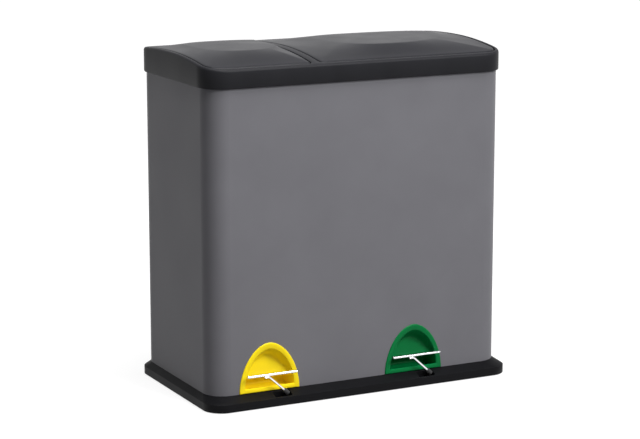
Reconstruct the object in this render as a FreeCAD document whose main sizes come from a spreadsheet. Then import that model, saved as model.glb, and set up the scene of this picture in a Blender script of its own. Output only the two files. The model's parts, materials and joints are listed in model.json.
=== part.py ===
"""Double recycling bin: a sheet-steel body on a moulded plinth, with two lids, two lift-out buckets
and two foot pedals. Each pedal turns a lever arm under its bucket, which lifts a rod behind the
bucket, which turns its lid open. Millimetres, +Z up, +X to the right seen from the front, +Y to the
back. The origin is on the floor, at the middle of the plinth."""

import FreeCAD, Part

import math
import os
import re

import Sketcher
from FreeCAD import Placement, Rotation, Vector

# Driving dimensions. Each name is a cell of the sheet.
SIZES = {
    # body shell
    "body_width": 575.0,
    "body_depth": 300.0,
    "body_corner": 37.0,
    "body_top": 570.0,
    "sheet_metal": 1.0,
    "hem_width": 10.0,
    # plinth
    "plinth_side": 10.5,
    "plinth_front": 22.5,
    "plinth_rear": 6.0,
    "plinth_corner": 35.0,
    "plinth_crease": 16.0,
    "plinth_top": 25.0,
    "plinth_wall": 3.0,
    "upstand_wall": 3.0,
    "upstand_gap": 1.0,
    "bucket_floor": 62.0,
    "rib_left": 70.0,
    "rib_right": 48.0,
    "rib_far": 130.0,
    "rib_rod_gap": 24.0,
    "toe_gap": 6.0,
    "foot_height": 4.0,
    "foot_radius": 9.0,
    "foot_lip": 2.0,
    "foot_proud": 2.0,
    "foot_inset": 30.0,
    # lid frame
    "frame_overhang": 4.4,
    "frame_bottom": 556.0,
    "frame_wall": 3.0,
    "frame_fit": 0.2,
    "frame_chamfer": 2.5,
    "seat_height": 578.0,
    "seat_thickness": 3.0,
    "seat_ledge": 8.0,
    "rim_side": 7.4,
    "rim_front": 9.4,
    "divider_place": -83.0,
    "divider_width": 15.0,
    "arch_height": 604.5,
    "arch_inset": 135.0,
    "arch_front_radius": 890.0,
    "arch_rear_radius": 1288.0,
    # lids
    "lid_gap": 1.5,
    "lid_wall": 2.5,
    "lid_corner": 8.5,
    "lid_outer_corner": 30.0,
    "lid_lift": 0.3,
    "lid_skirt_height": 580.0,
    "crown_height": 610.0,
    "crown_inset": 95.0,
    "crown_reach": 105.0,
    "crown_margin": 22.0,
    "crown_dome": 2.2,
    "lid_opening": 75.0,
    # hinges
    "hinge_height": 593.5,
    "hinge_inset": 26.0,
    "knuckle_radius": 6.5,
    "knuckle_gap": 1.2,
    "hinge_pin_radius": 2.5,
    "hinge_pin_hold": 4.5,
    "hinge_pin_gap": 0.5,
    "hinge_pin_ease": 0.02,
    "hinge_boss_length": 10.0,
    "hinge_boss_end": 2.0,
    "running_clearance": 0.05,
    # lifting gear
    "crank_radius": 14.0,
    "rod_radius": 2.5,
    "rod_offset": 1.5,
    "rod_hook": 10.5,
    "rod_bend": 3.0,
    "rod_room": 2.5,
    "rod_wall_gap": 6.5,
    "slot_clearance": 0.8,
    "slot_end": 0.5,
    "lug_wall": 3.0,
    "lever_thickness": 4.0,
    "lever_width": 12.0,
    "lever_nose": 40.0,
    "lever_bend": 58.0,
    "lever_knee": 76.0,
    "lever_tail": 6.0,
    "lever_room": 14.0,
    "lever_gap": 0.2,
    "lever_slot_reach": 1.6,
    "lever_slot_gap": 0.3,
    "pivot_height": 36.0,
    "pivot_pin_radius": 3.0,
    "pivot_pin_end": 2.0,
    "pivot_boss": 2.0,
    "bracket_gauge": 2.0,
    "bracket_width": 34.0,
    "bracket_depth": 40.0,
    "bracket_ear": 4.0,
    "side_clearance": 0.6,
    "guide_height": 14.0,
    "guide_width": 18.0,
    "guide_lip": 3.5,
    "guide_low": 150.0,
    "guide_high": 450.0,
    # pedals
    "pedal_left": -178.0,
    "pedal_right": 107.0,
    "recess_half_width": 57.5,
    "recess_height": 86.0,
    "recess_flange": 10.5,
    "recess_sill": 8.5,
    "recess_proud": 2.0,
    "recess_depth": 40.0,
    "recess_wall": 2.0,
    "recess_clearance": 0.3,
    "bar_length": 95.0,
    "bar_radius": 2.4,
    "bar_end_round": 1.1,
    "bar_setout": 13.0,
    "bar_height": 57.5,
    "stem_radius": 2.0,
    "stem_reach": 28.0,
    "stem_shift": 6.0,
    "stem_stub": 9.0,
    "stem_bend": 5.0,
    "wire_height": 22.0,
    "wire_end": 62.0,
    "wire_room": 2.0,
    "sleeve_radius": 5.5,
    "sleeve_length": 9.0,
    "sleeve_room": 3.0,
    # buckets
    "bucket_wall": 2.0,
    "bucket_rim": 5.0,
    "bucket_top": 552.0,
    "bucket_gap": 1.5,
    "bucket_taper": 9.0,
    "bucket_corner": 18.0,
    # fasteners and bumpers
    "screw_radius": 2.0,
    "screw_head": 4.0,
    "screw_head_height": 2.2,
    "screw_length": 8.0,
    "screw_gap": 1.0,
    "screw_clearance": 0.1,
    "rivet_head": 3.5,
    "rivet_head_height": 1.2,
    "bumper_radius": 2.4,
    "bumper_inset": 40.0,
}

SHEET_NAME = "Sizes"
SHEET_COLUMN = "B"
MARGIN = 5.0            # how far a cutting tool runs past what it cuts
BITE = 1.0              # how far one pad reaches into the next, so that they join
TOUCH = 0.01            # two places nearer than this are the same place
RECESS_POWER = 1.85     # roundness of the pedal recess's outline, 2 is an ellipse
RECESS_POINTS = 7       # points on each side of that outline
LID_COLUMNS = 15        # points across a lid's upper surface
LID_ROWS = 21           # points from its front to its hinge
LID_TOLERANCE = 0.05    # how near the smooth surface keeps to those points
SCREWS_ALONG = (-0.2, 0.25)     # the hems' screws, as shares of the body's depth
SCREWS_BEHIND = (-0.32, 0.32)   # and of its width, along the back
SCREWS_AHEAD = (-0.06, 0.41)    # and between the recesses, along the front

document = FreeCAD.newDocument("recycling_bin")
sheet = document.addObject("Spreadsheet::Sheet", SHEET_NAME)
for row, (alias, number) in enumerate(SIZES.items(), start=1):
    sheet.set("A%d" % row, alias.replace("_", " "))
    sheet.set("%s%d" % (SHEET_COLUMN, row), str(number))
    sheet.setAlias("%s%d" % (SHEET_COLUMN, row), alias)
document.recompute()

# Places worked out from the driving dimensions, as expressions.
FRONT = "((plinth_front - plinth_rear - body_depth) / 2)"
BACK = "(%s + body_depth)" % FRONT
SIDE = "(body_width / 2)"
HINGE_Y = "(%s - hinge_inset)" % BACK
ROD_Y = "(%s - crank_radius * cos(lid_opening / 2))" % HINGE_Y
ROD_TOP = "(hinge_height - crank_radius * sin(lid_opening / 2))"
LIFT = "(2 * crank_radius * sin(lid_opening / 2))"
BAR_Y = "(%s - bar_setout)" % FRONT
PIVOT_Y = "((%s + %s) / 2)" % (ROD_Y, BAR_Y)
FLOOR_UNDERSIDE = "(plinth_top - plinth_wall)"
POCKET_FRONT = "(%s - frame_overhang + rim_front)" % FRONT
POCKET_BACK = "(%s + knuckle_radius + knuckle_gap)" % HINGE_Y
POCKET_SIDE = "(%s + frame_overhang - rim_side)" % SIDE
WASTE_FRONT = "(%s + seat_ledge)" % POCKET_FRONT
WASTE_BACK = "(%s - rod_radius - rod_wall_gap)" % ROD_Y
TOE_ROOM = "(%s + recess_depth + toe_gap)" % FRONT
FRAME_SEAT = "(seat_height - seat_thickness)"
SCREW_HOLE = "screw_radius + screw_clearance"

# The two compartments. Left holds the small lid and the yellow pedal recess.
SIDES = {
    "left": {
        "pedal": "pedal_left",
        "pocket": ("(-%s)" % POCKET_SIDE, "(divider_place - divider_width / 2)"),
        "radii": ("lid_outer_corner", "lid_corner"),
    },
    "right": {
        "pedal": "pedal_right",
        "pocket": ("(divider_place + divider_width / 2)", POCKET_SIDE),
        "radii": ("lid_corner", "lid_outer_corner"),
    },
}


def full(expression):
    """The expression with each size's name written as a cell of the sheet."""
    def cell(match):
        word = match.group(0)
        return "%s.%s" % (SHEET_NAME, word) if word in SIZES else word
    return re.sub(r"[a-z_]+", cell, str(expression))


def size(expression):
    """The expression's value in millimetres or degrees."""
    return float(sheet.evalExpression(full(expression)))


def bind(thing, path, expression):
    thing.setExpression(path, full(expression))


def new_body(name):
    body = document.addObject("PartDesign::Body", name)
    body.Label = name
    return body


def new_sketch(body, plane, offset="0"):
    """A sketch on one of the body's own origin planes, moved along the plane's normal."""
    sketch = body.newObject("Sketcher::SketchObject", body.Name + "_sketch")
    origin_plane = [item for item in body.Origin.OriginFeatures if item.Role == plane][0]
    sketch.AttachmentSupport = [(origin_plane, "")]
    sketch.MapMode = "FlatFace"
    bind(sketch, "AttachmentOffset.Base.z", offset)
    return sketch


def fix_point(sketch, line, end, place):
    """Ties one end of a line to a place measured from the sketch's origin."""
    for kind, expression in zip(("DistanceX", "DistanceY"), place):
        if expression is None:
            continue
        rule = Sketcher.Constraint(kind, -1, 1, line, end, size(expression))
        number = sketch.addConstraint(rule)
        bind(sketch, "Constraints[%d]" % number, expression)


def draw_polygon(sketch, corners):
    """A closed outline of straight lines through corners given as expressions."""
    places = [Vector(size(x), size(y), 0) for x, y in corners]
    count = len(places)
    lines = []
    for index in range(count):
        line = Part.LineSegment(places[index], places[(index + 1) % count])
        lines.append(sketch.addGeometry(line))
    for index in range(count):
        following = lines[(index + 1) % count]
        sketch.addConstraint(Sketcher.Constraint("Coincident", lines[index], 2, following, 1))
        fix_point(sketch, lines[index], 1, corners[index])


def draw_slab(sketch, left, right, front, back, radii):
    """A rectangle with rounded corners. radii: front left, front right, back right, back left."""
    x0, x1, y0, y1 = (size(edge) for edge in (left, right, front, back))
    r = [size(radius) for radius in radii]
    ends = [
        (Vector(x0 + r[0], y0, 0), Vector(x1 - r[1], y0, 0)),
        (Vector(x1, y0 + r[1], 0), Vector(x1, y1 - r[2], 0)),
        (Vector(x1 - r[2], y1, 0), Vector(x0 + r[3], y1, 0)),
        (Vector(x0, y1 - r[3], 0), Vector(x0, y0 + r[0], 0)),
    ]
    centres = [
        Vector(x0 + r[0], y0 + r[0], 0),
        Vector(x1 - r[1], y0 + r[1], 0),
        Vector(x1 - r[2], y1 - r[2], 0),
        Vector(x0 + r[3], y1 - r[3], 0),
    ]
    lines = [sketch.addGeometry(Part.LineSegment(*pair)) for pair in ends]
    arcs = []
    for index, centre in enumerate(centres):
        circle = Part.Circle(centre, Vector(0, 0, 1), r[index])
        start = math.pi + index * math.pi / 2
        arcs.append(sketch.addGeometry(Part.ArcOfCircle(circle, start, start + math.pi / 2)))
    for index in range(4):
        before = lines[index - 1]
        sketch.addConstraint(Sketcher.Constraint("Tangent", arcs[index], 1, before, 2))
        sketch.addConstraint(Sketcher.Constraint("Tangent", arcs[index], 2, lines[index], 1))
        number = sketch.addConstraint(Sketcher.Constraint("Radius", arcs[index], r[index]))
        bind(sketch, "Constraints[%d]" % number, radii[index])
        kind = "Horizontal" if index % 2 == 0 else "Vertical"
        sketch.addConstraint(Sketcher.Constraint(kind, lines[index]))
    fix_point(sketch, lines[0], 1, (None, front))
    fix_point(sketch, lines[1], 1, (right, None))
    fix_point(sketch, lines[2], 1, (None, back))
    fix_point(sketch, lines[3], 1, (left, None))


def draw_circle(sketch, x, y, radius):
    circle = Part.Circle(Vector(size(x), size(y), 0), Vector(0, 0, 1), size(radius))
    geometry = sketch.addGeometry(circle)
    fix_point(sketch, geometry, 3, (x, y))
    number = sketch.addConstraint(Sketcher.Constraint("Radius", geometry, size(radius)))
    bind(sketch, "Constraints[%d]" % number, radius)


def extrude(body, sketch, kind, length, both_ways=False, reverse=False):
    feature = body.newObject("PartDesign::" + kind, "%s_%s" % (body.Name, kind.lower()))
    feature.Profile = sketch
    bind(feature, "Length", length)
    feature.SideType = "Symmetric" if both_ways else "One side"
    feature.Reversed = reverse
    sketch.Visibility = False
    return feature


def pad(body, sketch, length, both_ways=False, reverse=False):
    return extrude(body, sketch, "Pad", length, both_ways, reverse)


def pocket(body, sketch, length, both_ways=False, reverse=False):
    """A pocket that has to take material away."""
    document.recompute()
    before = body.Shape.Volume
    feature = extrude(body, sketch, "Pocket", length, both_ways, reverse)
    document.recompute()
    if body.Shape.Volume > before - 0.1:
        raise ValueError("a pocket in %s cuts nothing" % body.Label)
    return feature


def slab_pad(body, bottom, top, edges, radii):
    sketch = new_sketch(body, "XY_Plane", bottom)
    draw_slab(sketch, *edges, radii)
    return pad(body, sketch, "%s - (%s)" % (top, bottom))


def slab_pocket(body, bottom, top, edges, radii):
    sketch = new_sketch(body, "XY_Plane", top)
    draw_slab(sketch, *edges, radii)
    return pocket(body, sketch, "%s - (%s)" % (top, bottom))


def box_corners(left, right, front, back):
    return [(left, front), (right, front), (right, back), (left, back)]


def box_pad(body, bottom, top, edges):
    sketch = new_sketch(body, "XY_Plane", bottom)
    draw_polygon(sketch, box_corners(*edges))
    return pad(body, sketch, "%s - (%s)" % (top, bottom))


def box_pocket(body, bottom, top, edges):
    sketch = new_sketch(body, "XY_Plane", top)
    draw_polygon(sketch, box_corners(*edges))
    return pocket(body, sketch, "%s - (%s)" % (top, bottom))


def hole_pocket(body, bottom, top, centres, radius):
    sketch = new_sketch(body, "XY_Plane", top)
    for x, y in centres:
        draw_circle(sketch, x, y, radius)
    return pocket(body, sketch, "%s - (%s)" % (top, bottom))


def peg_pad(body, bottom, top, centres, radius):
    sketch = new_sketch(body, "XY_Plane", bottom)
    for x, y in centres:
        draw_circle(sketch, x, y, radius)
    return pad(body, sketch, "%s - (%s)" % (top, bottom))


def body_edges(inset):
    """Left, right, front and back of the body's outline, moved inwards."""
    return ("-%s + (%s)" % (SIDE, inset), "%s - (%s)" % (SIDE, inset),
            "%s + (%s)" % (FRONT, inset), "%s - (%s)" % (BACK, inset))


def plinth_edges(inset):
    """The same for the plinth's outline, which stands out by a different amount on each side."""
    return ("-%s - plinth_side + (%s)" % (SIDE, inset), "%s + plinth_side - (%s)" % (SIDE, inset),
            "%s - plinth_front + (%s)" % (FRONT, inset), "%s + plinth_rear - (%s)" % (BACK, inset))


def same(radius):
    return (radius,) * 4


def lever_plane(side):
    """X of the wire that enters the plinth, and X of the middle of the lever arm beside it."""
    wire = "(%s + stem_reach)" % SIDES[side]["pedal"]
    arm = "(%s + stem_radius + lever_gap + lever_thickness / 2)" % wire
    return wire, arm


def rod_x(side):
    return "(%s - rod_offset)" % lever_plane(side)[0]


def screw_places():
    """Where the screws go through the body's hems, at the middle of the hem."""
    inset = "(hem_width + sheet_metal) / 2"
    left, right, front, back = body_edges(inset)
    places = [(edge, "%s * body_depth" % share) for edge in (left, right) for share in SCREWS_ALONG]
    places += [("%s * body_width" % share, back) for share in SCREWS_BEHIND]
    places += [("%s * body_width" % share, front) for share in SCREWS_AHEAD]
    return places


def rivet_places():
    """X and Z of the rivets that hold the rod guides to the rear wall."""
    return [(rod_x(side), "%s + guide_height / 2" % height)
            for side in SIDES for height in ("guide_low", "guide_high")]


def foot_places():
    left, right, front, back = plinth_edges("foot_inset")
    return [(x, y) for x in (left, "0", right) for y in (front, back)]


def arch_wire(half_width, height, middle, base, depth):
    """The pedal recess's outline in an XZ plane: a flat sill under a rounded arch."""
    points = []
    for step in range(-RECESS_POINTS, RECESS_POINTS + 1):
        angle = math.pi / 2 * (1 - abs(step) / RECESS_POINTS)
        along = math.copysign(math.cos(angle) ** (2 / RECESS_POWER), step) if step else 0.0
        up = math.sin(angle) ** (2 / RECESS_POWER)
        points.append(Vector(middle + along * half_width, depth, base + up * height))
    curve = Part.BSplineCurve()
    curve.interpolate(points)
    sill = Part.LineSegment(points[-1], points[0])
    return Part.Wire([curve.toShape(), sill.toShape()])


def arch_solid(half_width, height, middle, base, near, far):
    wire = arch_wire(half_width, height, middle, base, near)
    return Part.Face(wire).extrude(Vector(0, far - near, 0))


def part_feature(name, shape):
    feature = document.addObject("Part::Feature", name)
    feature.Label = name
    feature.Shape = shape
    feature.Placement = Placement(Vector(0, 0, 0), Rotation())
    return feature


def body_shell():
    """Folded sheet with an inward hem at the bottom and the top, open where the recesses go."""
    body = new_body("shell_blank")
    slab_pad(body, "plinth_top", "body_top", body_edges("0"), same("body_corner"))
    inner = same("body_corner - sheet_metal")
    slab_pocket(body, "plinth_top + sheet_metal", "body_top - sheet_metal",
                body_edges("sheet_metal"), inner)
    slab_pocket(body, "plinth_top", "body_top", body_edges("hem_width + sheet_metal"),
                same("body_corner - hem_width - sheet_metal"))
    hole_pocket(body, "plinth_top", "body_top", screw_places(), SCREW_HOLE)
    drill = new_sketch(body, "XZ_Plane", "-(%s)" % BACK)
    for x, z in rivet_places():
        draw_circle(drill, x, z, SCREW_HOLE)
    pocket(body, drill, "2 * sheet_metal", reverse=True)
    cut = document.addObject("Part::MultiFuse", "recess_cuts")
    cut.Shapes = [part_feature("recess_cut_" + side, recess_hole(side)) for side in SIDES]
    shell = document.addObject("Part::Cut", "body_shell")
    shell.Base = body
    shell.Tool = cut
    shell.Label = "body_shell"
    return shell


def recess_hole(side):
    """The opening in the sheet, between the recess's tub and the outside of its flange."""
    middle = size(SIDES[side]["pedal"])
    inset = size("recess_flange") / 2
    front = size(FRONT)
    base = size("plinth_top")
    arch = arch_solid(size("recess_half_width") - inset, size("recess_height") - inset,
                      middle, base, front - MARGIN, front + size("hem_width") + MARGIN)
    half = size("recess_half_width") - inset
    doorway = Part.makeBox(2 * half, size("hem_width") + 2 * MARGIN, MARGIN,
                           Vector(middle - half, front - MARGIN, base - MARGIN / 2))
    return arch.fuse(doorway)


def base_plinth():
    """Moulded base: outer wall, sloping ledge, floor, a ring that the hem sits round, and ribs."""
    body = new_body("base_plinth")
    slab_pad(body, "foot_proud", "plinth_crease", plinth_edges("0"), same("plinth_corner"))
    ledge = body.newObject("PartDesign::AdditiveLoft", "plinth_ledge")
    low = new_sketch(body, "XY_Plane", "plinth_crease")
    draw_slab(low, *plinth_edges("0"), same("plinth_corner"))
    high = new_sketch(body, "XY_Plane", "plinth_top")
    draw_slab(high, *body_edges("0"), same("body_corner"))
    ledge.Profile = low
    ledge.Sections = [high]
    ledge.Ruled = True
    hollow = new_sketch(body, "XY_Plane", "foot_proud")
    draw_slab(hollow, *plinth_edges("plinth_wall"), same("plinth_corner - plinth_wall"))
    pocket(body, hollow, "plinth_crease - plinth_wall - foot_proud", reverse=True)
    hollow = new_sketch(body, "XY_Plane", "foot_proud")
    draw_slab(hollow, *body_edges("0"), same("body_corner"))
    pocket(body, hollow, "%s - foot_proud" % FLOOR_UNDERSIDE, reverse=True)
    peg_pad(body, "foot_height", "plinth_top - plinth_wall / 2", foot_places(),
            "foot_radius - foot_lip")
    ring = "hem_width + sheet_metal + upstand_gap"
    corner = "body_corner - (%s)" % ring
    slab_pad(body, "plinth_top", "bucket_floor", body_edges(ring), same(corner))
    slab_pocket(body, "plinth_top", "bucket_floor", body_edges(ring + " + upstand_wall"),
                same(corner + " - upstand_wall"))
    for x in rib_places():
        box_pad(body, "plinth_top - %s" % BITE, "bucket_floor",
                ("%s - upstand_wall / 2" % x, "%s + upstand_wall / 2" % x,
                 TOE_ROOM, "%s - rib_rod_gap" % ROD_Y))
    above = "bucket_floor + %s" % MARGIN
    for side, data in SIDES.items():
        wire, arm = lever_plane(side)
        middle = data["pedal"]
        box_pocket(body, "plinth_top", above,
                   ("%s - recess_half_width" % middle, "%s + recess_half_width" % middle,
                    FRONT, "%s - toe_gap / 3" % TOE_ROOM))
        box_pocket(body, "foot_proud", above,
                   ("%s - stem_radius - wire_room" % wire, "%s + lever_thickness / 2 + wire_room" % arm,
                    "%s - stem_radius - wire_room" % BAR_Y, "%s + lever_knee + lever_room" % FRONT))
        sweep = "(%s) * (stem_reach + stem_shift) / (bar_height - wire_height)" % LIFT
        box_pocket(body, "foot_proud", above,
                   ("%s - %s - sleeve_radius - sleeve_room" % (wire, sweep),
                    "%s + sleeve_radius + sleeve_room / 3" % wire,
                    "%s - sleeve_radius - slot_clearance" % BAR_Y,
                    "%s + sleeve_radius + sleeve_room" % BAR_Y))
    holes = screw_places() + bracket_screw_places()
    hole_pocket(body, FLOOR_UNDERSIDE, "plinth_top", holes, SCREW_HOLE)
    return body


def rib_places():
    """X of the ribs that carry the buckets: one on each side of each lever, and one more."""
    places = []
    for side in SIDES:
        wire = lever_plane(side)[0]
        places.append("(%s - rib_left)" % wire)
        places.append("(%s + rib_right)" % wire)
    places.append("(%s - rib_far)" % lever_plane("right")[0])
    return places


def bracket_screw_places():
    places = []
    for side in SIDES:
        arm = lever_plane(side)[1]
        for sign in ("-", "+"):
            places.append((arm + " %s (bracket_width / 2 - screw_head - screw_gap)" % sign, PIVOT_Y))
    return places


def lid_frame():
    """Moulded frame on top of the body: rim, divider, and the ledge that the lids close on."""
    body = new_body("lid_frame")
    tall = "crown_height"
    slab_pad(body, "frame_bottom", tall, body_edges("-frame_overhang"),
             same("body_corner + frame_overhang"))
    cavity = "frame_wall - frame_overhang"
    sketch = new_sketch(body, "XY_Plane", "frame_bottom")
    draw_slab(sketch, *body_edges(cavity), same("body_corner - (%s)" % cavity))
    pocket(body, sketch, "%s - frame_bottom" % FRAME_SEAT, reverse=True)
    collar = new_sketch(body, "XY_Plane", "body_top - 2 * frame_chamfer")
    draw_slab(collar, *body_edges("-frame_overhang / 2"), same("body_corner + frame_overhang / 2"))
    pad(body, collar, "%s - body_top + 2 * frame_chamfer + %s" % (FRAME_SEAT, BITE))
    sketch = new_sketch(body, "XY_Plane", "frame_bottom")
    draw_slab(sketch, *body_edges("-frame_fit"), same("body_corner + frame_fit"))
    pocket(body, sketch, "body_top - frame_bottom", reverse=True)
    sketch = new_sketch(body, "XY_Plane", "body_top")
    draw_slab(sketch, *body_edges("2 * sheet_metal"), same("body_corner - 2 * sheet_metal"))
    pocket(body, sketch, "%s - body_top" % FRAME_SEAT, reverse=True)
    for data in SIDES.values():
        left, right = data["pocket"]
        first, second = data["radii"]
        back_corner = "lid_corner / 4"
        slab_pocket(body, "seat_height", tall, (left, right, POCKET_FRONT, POCKET_BACK),
                    (first, second, back_corner, back_corner))
        slab_pocket(body, "body_top", "seat_height",
                    ("%s + seat_ledge" % left, "%s - seat_ledge" % right, WASTE_FRONT, WASTE_BACK),
                    same("lid_corner"))
    peg_pad(body, "body_top", "seat_height - seat_thickness / 2", screw_places(), "screw_head")
    hole_pocket(body, "body_top", "body_top + screw_length - 2 * sheet_metal", screw_places(),
                "screw_radius")
    for side in SIDES:
        x = rod_x(side)
        box_pocket(body, "body_top", "seat_height",
                   ("%s - rod_radius - rod_room" % x, "%s + rod_hook + rod_room" % x,
                    "%s - %s" % (WASTE_BACK, BITE), "%s + rod_radius + 2 * rod_room" % ROD_Y))
    cut_arch(body)
    for x_start, x_end in hinge_pin_spans("hinge_pin_hold"):
        drill = new_sketch(body, "YZ_Plane", x_start)
        draw_circle(drill, HINGE_Y, "hinge_height", "hinge_pin_radius")
        pocket(body, drill, "%s - (%s)" % (x_end, x_start), reverse=True)
    document.recompute()
    bevel_frame(body)
    return body


def cut_arch(body):
    """Takes away what stands above the rim's arched top, seen from the side."""
    sketch = new_sketch(body, "YZ_Plane")
    apex_y = "%s - arch_inset" % BACK
    ends = {"arch_front_radius": "%s - frame_overhang - %s" % (FRONT, MARGIN),
            "arch_rear_radius": "%s + frame_overhang + %s" % (BACK, MARGIN)}
    arcs = []
    for name, end in ends.items():
        radius = size(name)
        centre = Vector(size(apex_y), size("arch_height") - radius, 0)
        turn = math.asin((size(end) - size(apex_y)) / radius)
        first, last = sorted((math.pi / 2, math.pi / 2 - turn))
        circle = Part.Circle(centre, Vector(0, 0, 1), radius)
        arc = sketch.addGeometry(Part.ArcOfCircle(circle, first, last))
        arcs.append(arc)
        fix_point(sketch, arc, 3, (apex_y, None))
        number = sketch.addConstraint(Sketcher.Constraint("Radius", arc, radius))
        bind(sketch, "Constraints[%d]" % number, name)
    front_arc, rear_arc = arcs
    sketch.addConstraint(Sketcher.Constraint("Coincident", front_arc, 1, rear_arc, 2))
    fix_point(sketch, rear_arc, 2, (apex_y, "arch_height"))
    fix_point(sketch, front_arc, 2, (ends["arch_front_radius"], None))
    fix_point(sketch, rear_arc, 1, (ends["arch_rear_radius"], None))
    top = "crown_height + %s" % MARGIN
    front_low = sketch.getPoint(front_arc, 2)
    rear_low = sketch.getPoint(rear_arc, 1)
    front_high = Vector(front_low.x, size(top), 0)
    rear_high = Vector(rear_low.x, size(top), 0)
    up = sketch.addGeometry(Part.LineSegment(front_low, front_high))
    across = sketch.addGeometry(Part.LineSegment(front_high, rear_high))
    down = sketch.addGeometry(Part.LineSegment(rear_high, rear_low))
    sketch.addConstraint(Sketcher.Constraint("Coincident", front_arc, 2, up, 1))
    sketch.addConstraint(Sketcher.Constraint("Coincident", up, 2, across, 1))
    sketch.addConstraint(Sketcher.Constraint("Coincident", across, 2, down, 1))
    sketch.addConstraint(Sketcher.Constraint("Coincident", down, 2, rear_arc, 1))
    sketch.addConstraint(Sketcher.Constraint("Vertical", up))
    sketch.addConstraint(Sketcher.Constraint("Horizontal", across))
    sketch.addConstraint(Sketcher.Constraint("Vertical", down))
    fix_point(sketch, across, 1, (None, top))
    pocket(body, sketch, "body_width + 2 * frame_overhang + %s" % MARGIN, both_ways=True)


def bevel_frame(body):
    """Bevels the rim's outer bottom edge."""
    shape = body.Shape
    outer = size(SIDE) + size("frame_overhang")
    front = size(FRONT) - size("frame_overhang")
    back = size(BACK) + size("frame_overhang")
    bottom = size("frame_bottom")

    def on_outline(edge):
        for vertex in edge.Vertexes:
            point = vertex.Point
            beside = abs(abs(point.x) - outer) < TOUCH
            ahead = abs(point.y - front) < TOUCH or abs(point.y - back) < TOUCH
            if not (beside or ahead):
                return False
        return True

    low = [number for number, edge in enumerate(shape.Edges, start=1)
           if on_outline(edge) and abs(edge.BoundBox.ZMax - bottom) < TOUCH]
    base = body.Tip
    bevel = body.newObject("PartDesign::Chamfer", "frame_bevel")
    bevel.Base = (base, ["Edge%d" % number for number in low])
    bind(bevel, "Size", "frame_chamfer")
    document.recompute()


def hinge_pin_spans(hold):
    """X spans of the hinge pins' holes in the frame: outer and inner one for each lid."""
    spans = []
    for data in SIDES.values():
        left, right = data["pocket"]
        spans.append(("%s - (%s)" % (left, hold), left))
        spans.append((right, "%s + (%s)" % (right, hold)))
    return spans


def lid_height(side):
    """A function that gives the height of the lid's upper surface at a point."""
    left, right = (size(edge) for edge in SIDES[side]["pocket"])
    middle = (left + right) / 2
    reach_x = (right - left) / 2 - size("crown_margin")
    back = size(BACK)
    crown_y = back - size("crown_inset")
    reach_y = size("crown_reach")
    apex = back - size("arch_inset")
    hinge_y = size(HINGE_Y)
    roll_top = size("hinge_height") + size("knuckle_radius")
    crown = size("crown_height")
    edge_front = size(POCKET_FRONT)

    def rim(y):
        radius = size("arch_front_radius") if y < apex else size("arch_rear_radius")
        return size("arch_height") - (y - apex) ** 2 / (2 * radius)

    def height(x, y):
        across = (x - middle) / reach_x
        along = (y - crown_y) / reach_y
        if y > crown_y:
            along = (y - crown_y) / (hinge_y - crown_y)
            ridge = crown - (crown - roll_top) * along ** 2
            spread = min(1.0, abs(across))
            return ridge - (ridge - rim(y)) * spread ** 4 * (1 - along) ** 0.5
        level = math.hypot(across, along)
        dome = crown - size("crown_dome") * min(level, 1.0) ** 2
        if level <= 1.0:
            return dome
        run = crown_y - reach_y - edge_front
        beyond = min(1.0, (level - 1.0) * reach_y / run)
        return rim(y) + (dome - rim(y)) * (1 - beyond) ** 2

    return height


def lid_outline(side, inset, bottom, top):
    """The lid's plan as a prism, straight at the back where the knuckle begins."""
    left, right = (size(edge) for edge in SIDES[side]["pocket"])
    gap = size("lid_gap") + inset
    x0, x1 = left + gap, right - gap
    y0, y1 = size(POCKET_FRONT) + gap, size(HINGE_Y)
    radii = [size(radius) - gap for radius in SIDES[side]["radii"]]
    block = Part.makeBox(x1 - x0, y1 - y0, top - bottom, Vector(x0, y0, bottom))
    for x, radius in zip((x0, x1), radii):
        corner = [edge for edge in block.Edges
                  if edge.BoundBox.ZLength > 1 and abs(edge.BoundBox.XMin - x) < TOUCH
                  and abs(edge.BoundBox.YMin - y0) < TOUCH and edge.BoundBox.XLength < TOUCH]
        block = block.makeFillet(radius, corner)
    return block


def under_surface(side, drop, bottom):
    """Everything below the lid's upper surface, lowered by drop."""
    left, right = (size(edge) for edge in SIDES[side]["pocket"])
    height = lid_height(side)
    x0, x1 = left - MARGIN, right + MARGIN
    y0, y1 = size(POCKET_FRONT) - MARGIN, size(HINGE_Y) + MARGIN
    grid = []
    for column in range(LID_COLUMNS):
        x = x0 + (x1 - x0) * column / (LID_COLUMNS - 1)
        line = []
        for row in range(LID_ROWS):
            y = y0 + (y1 - y0) * row / (LID_ROWS - 1)
            line.append(Vector(x, y, height(x, min(y, size(HINGE_Y))) - drop))
        grid.append(line)
    surface = Part.BSplineSurface()
    least_degree, most_degree, continuity = 3, 5, 2
    surface.approximate(grid, least_degree, most_degree, continuity, LID_TOLERANCE)
    return surface.toShape().extrude(Vector(0, 0, bottom - size("crown_height") - MARGIN))


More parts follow.
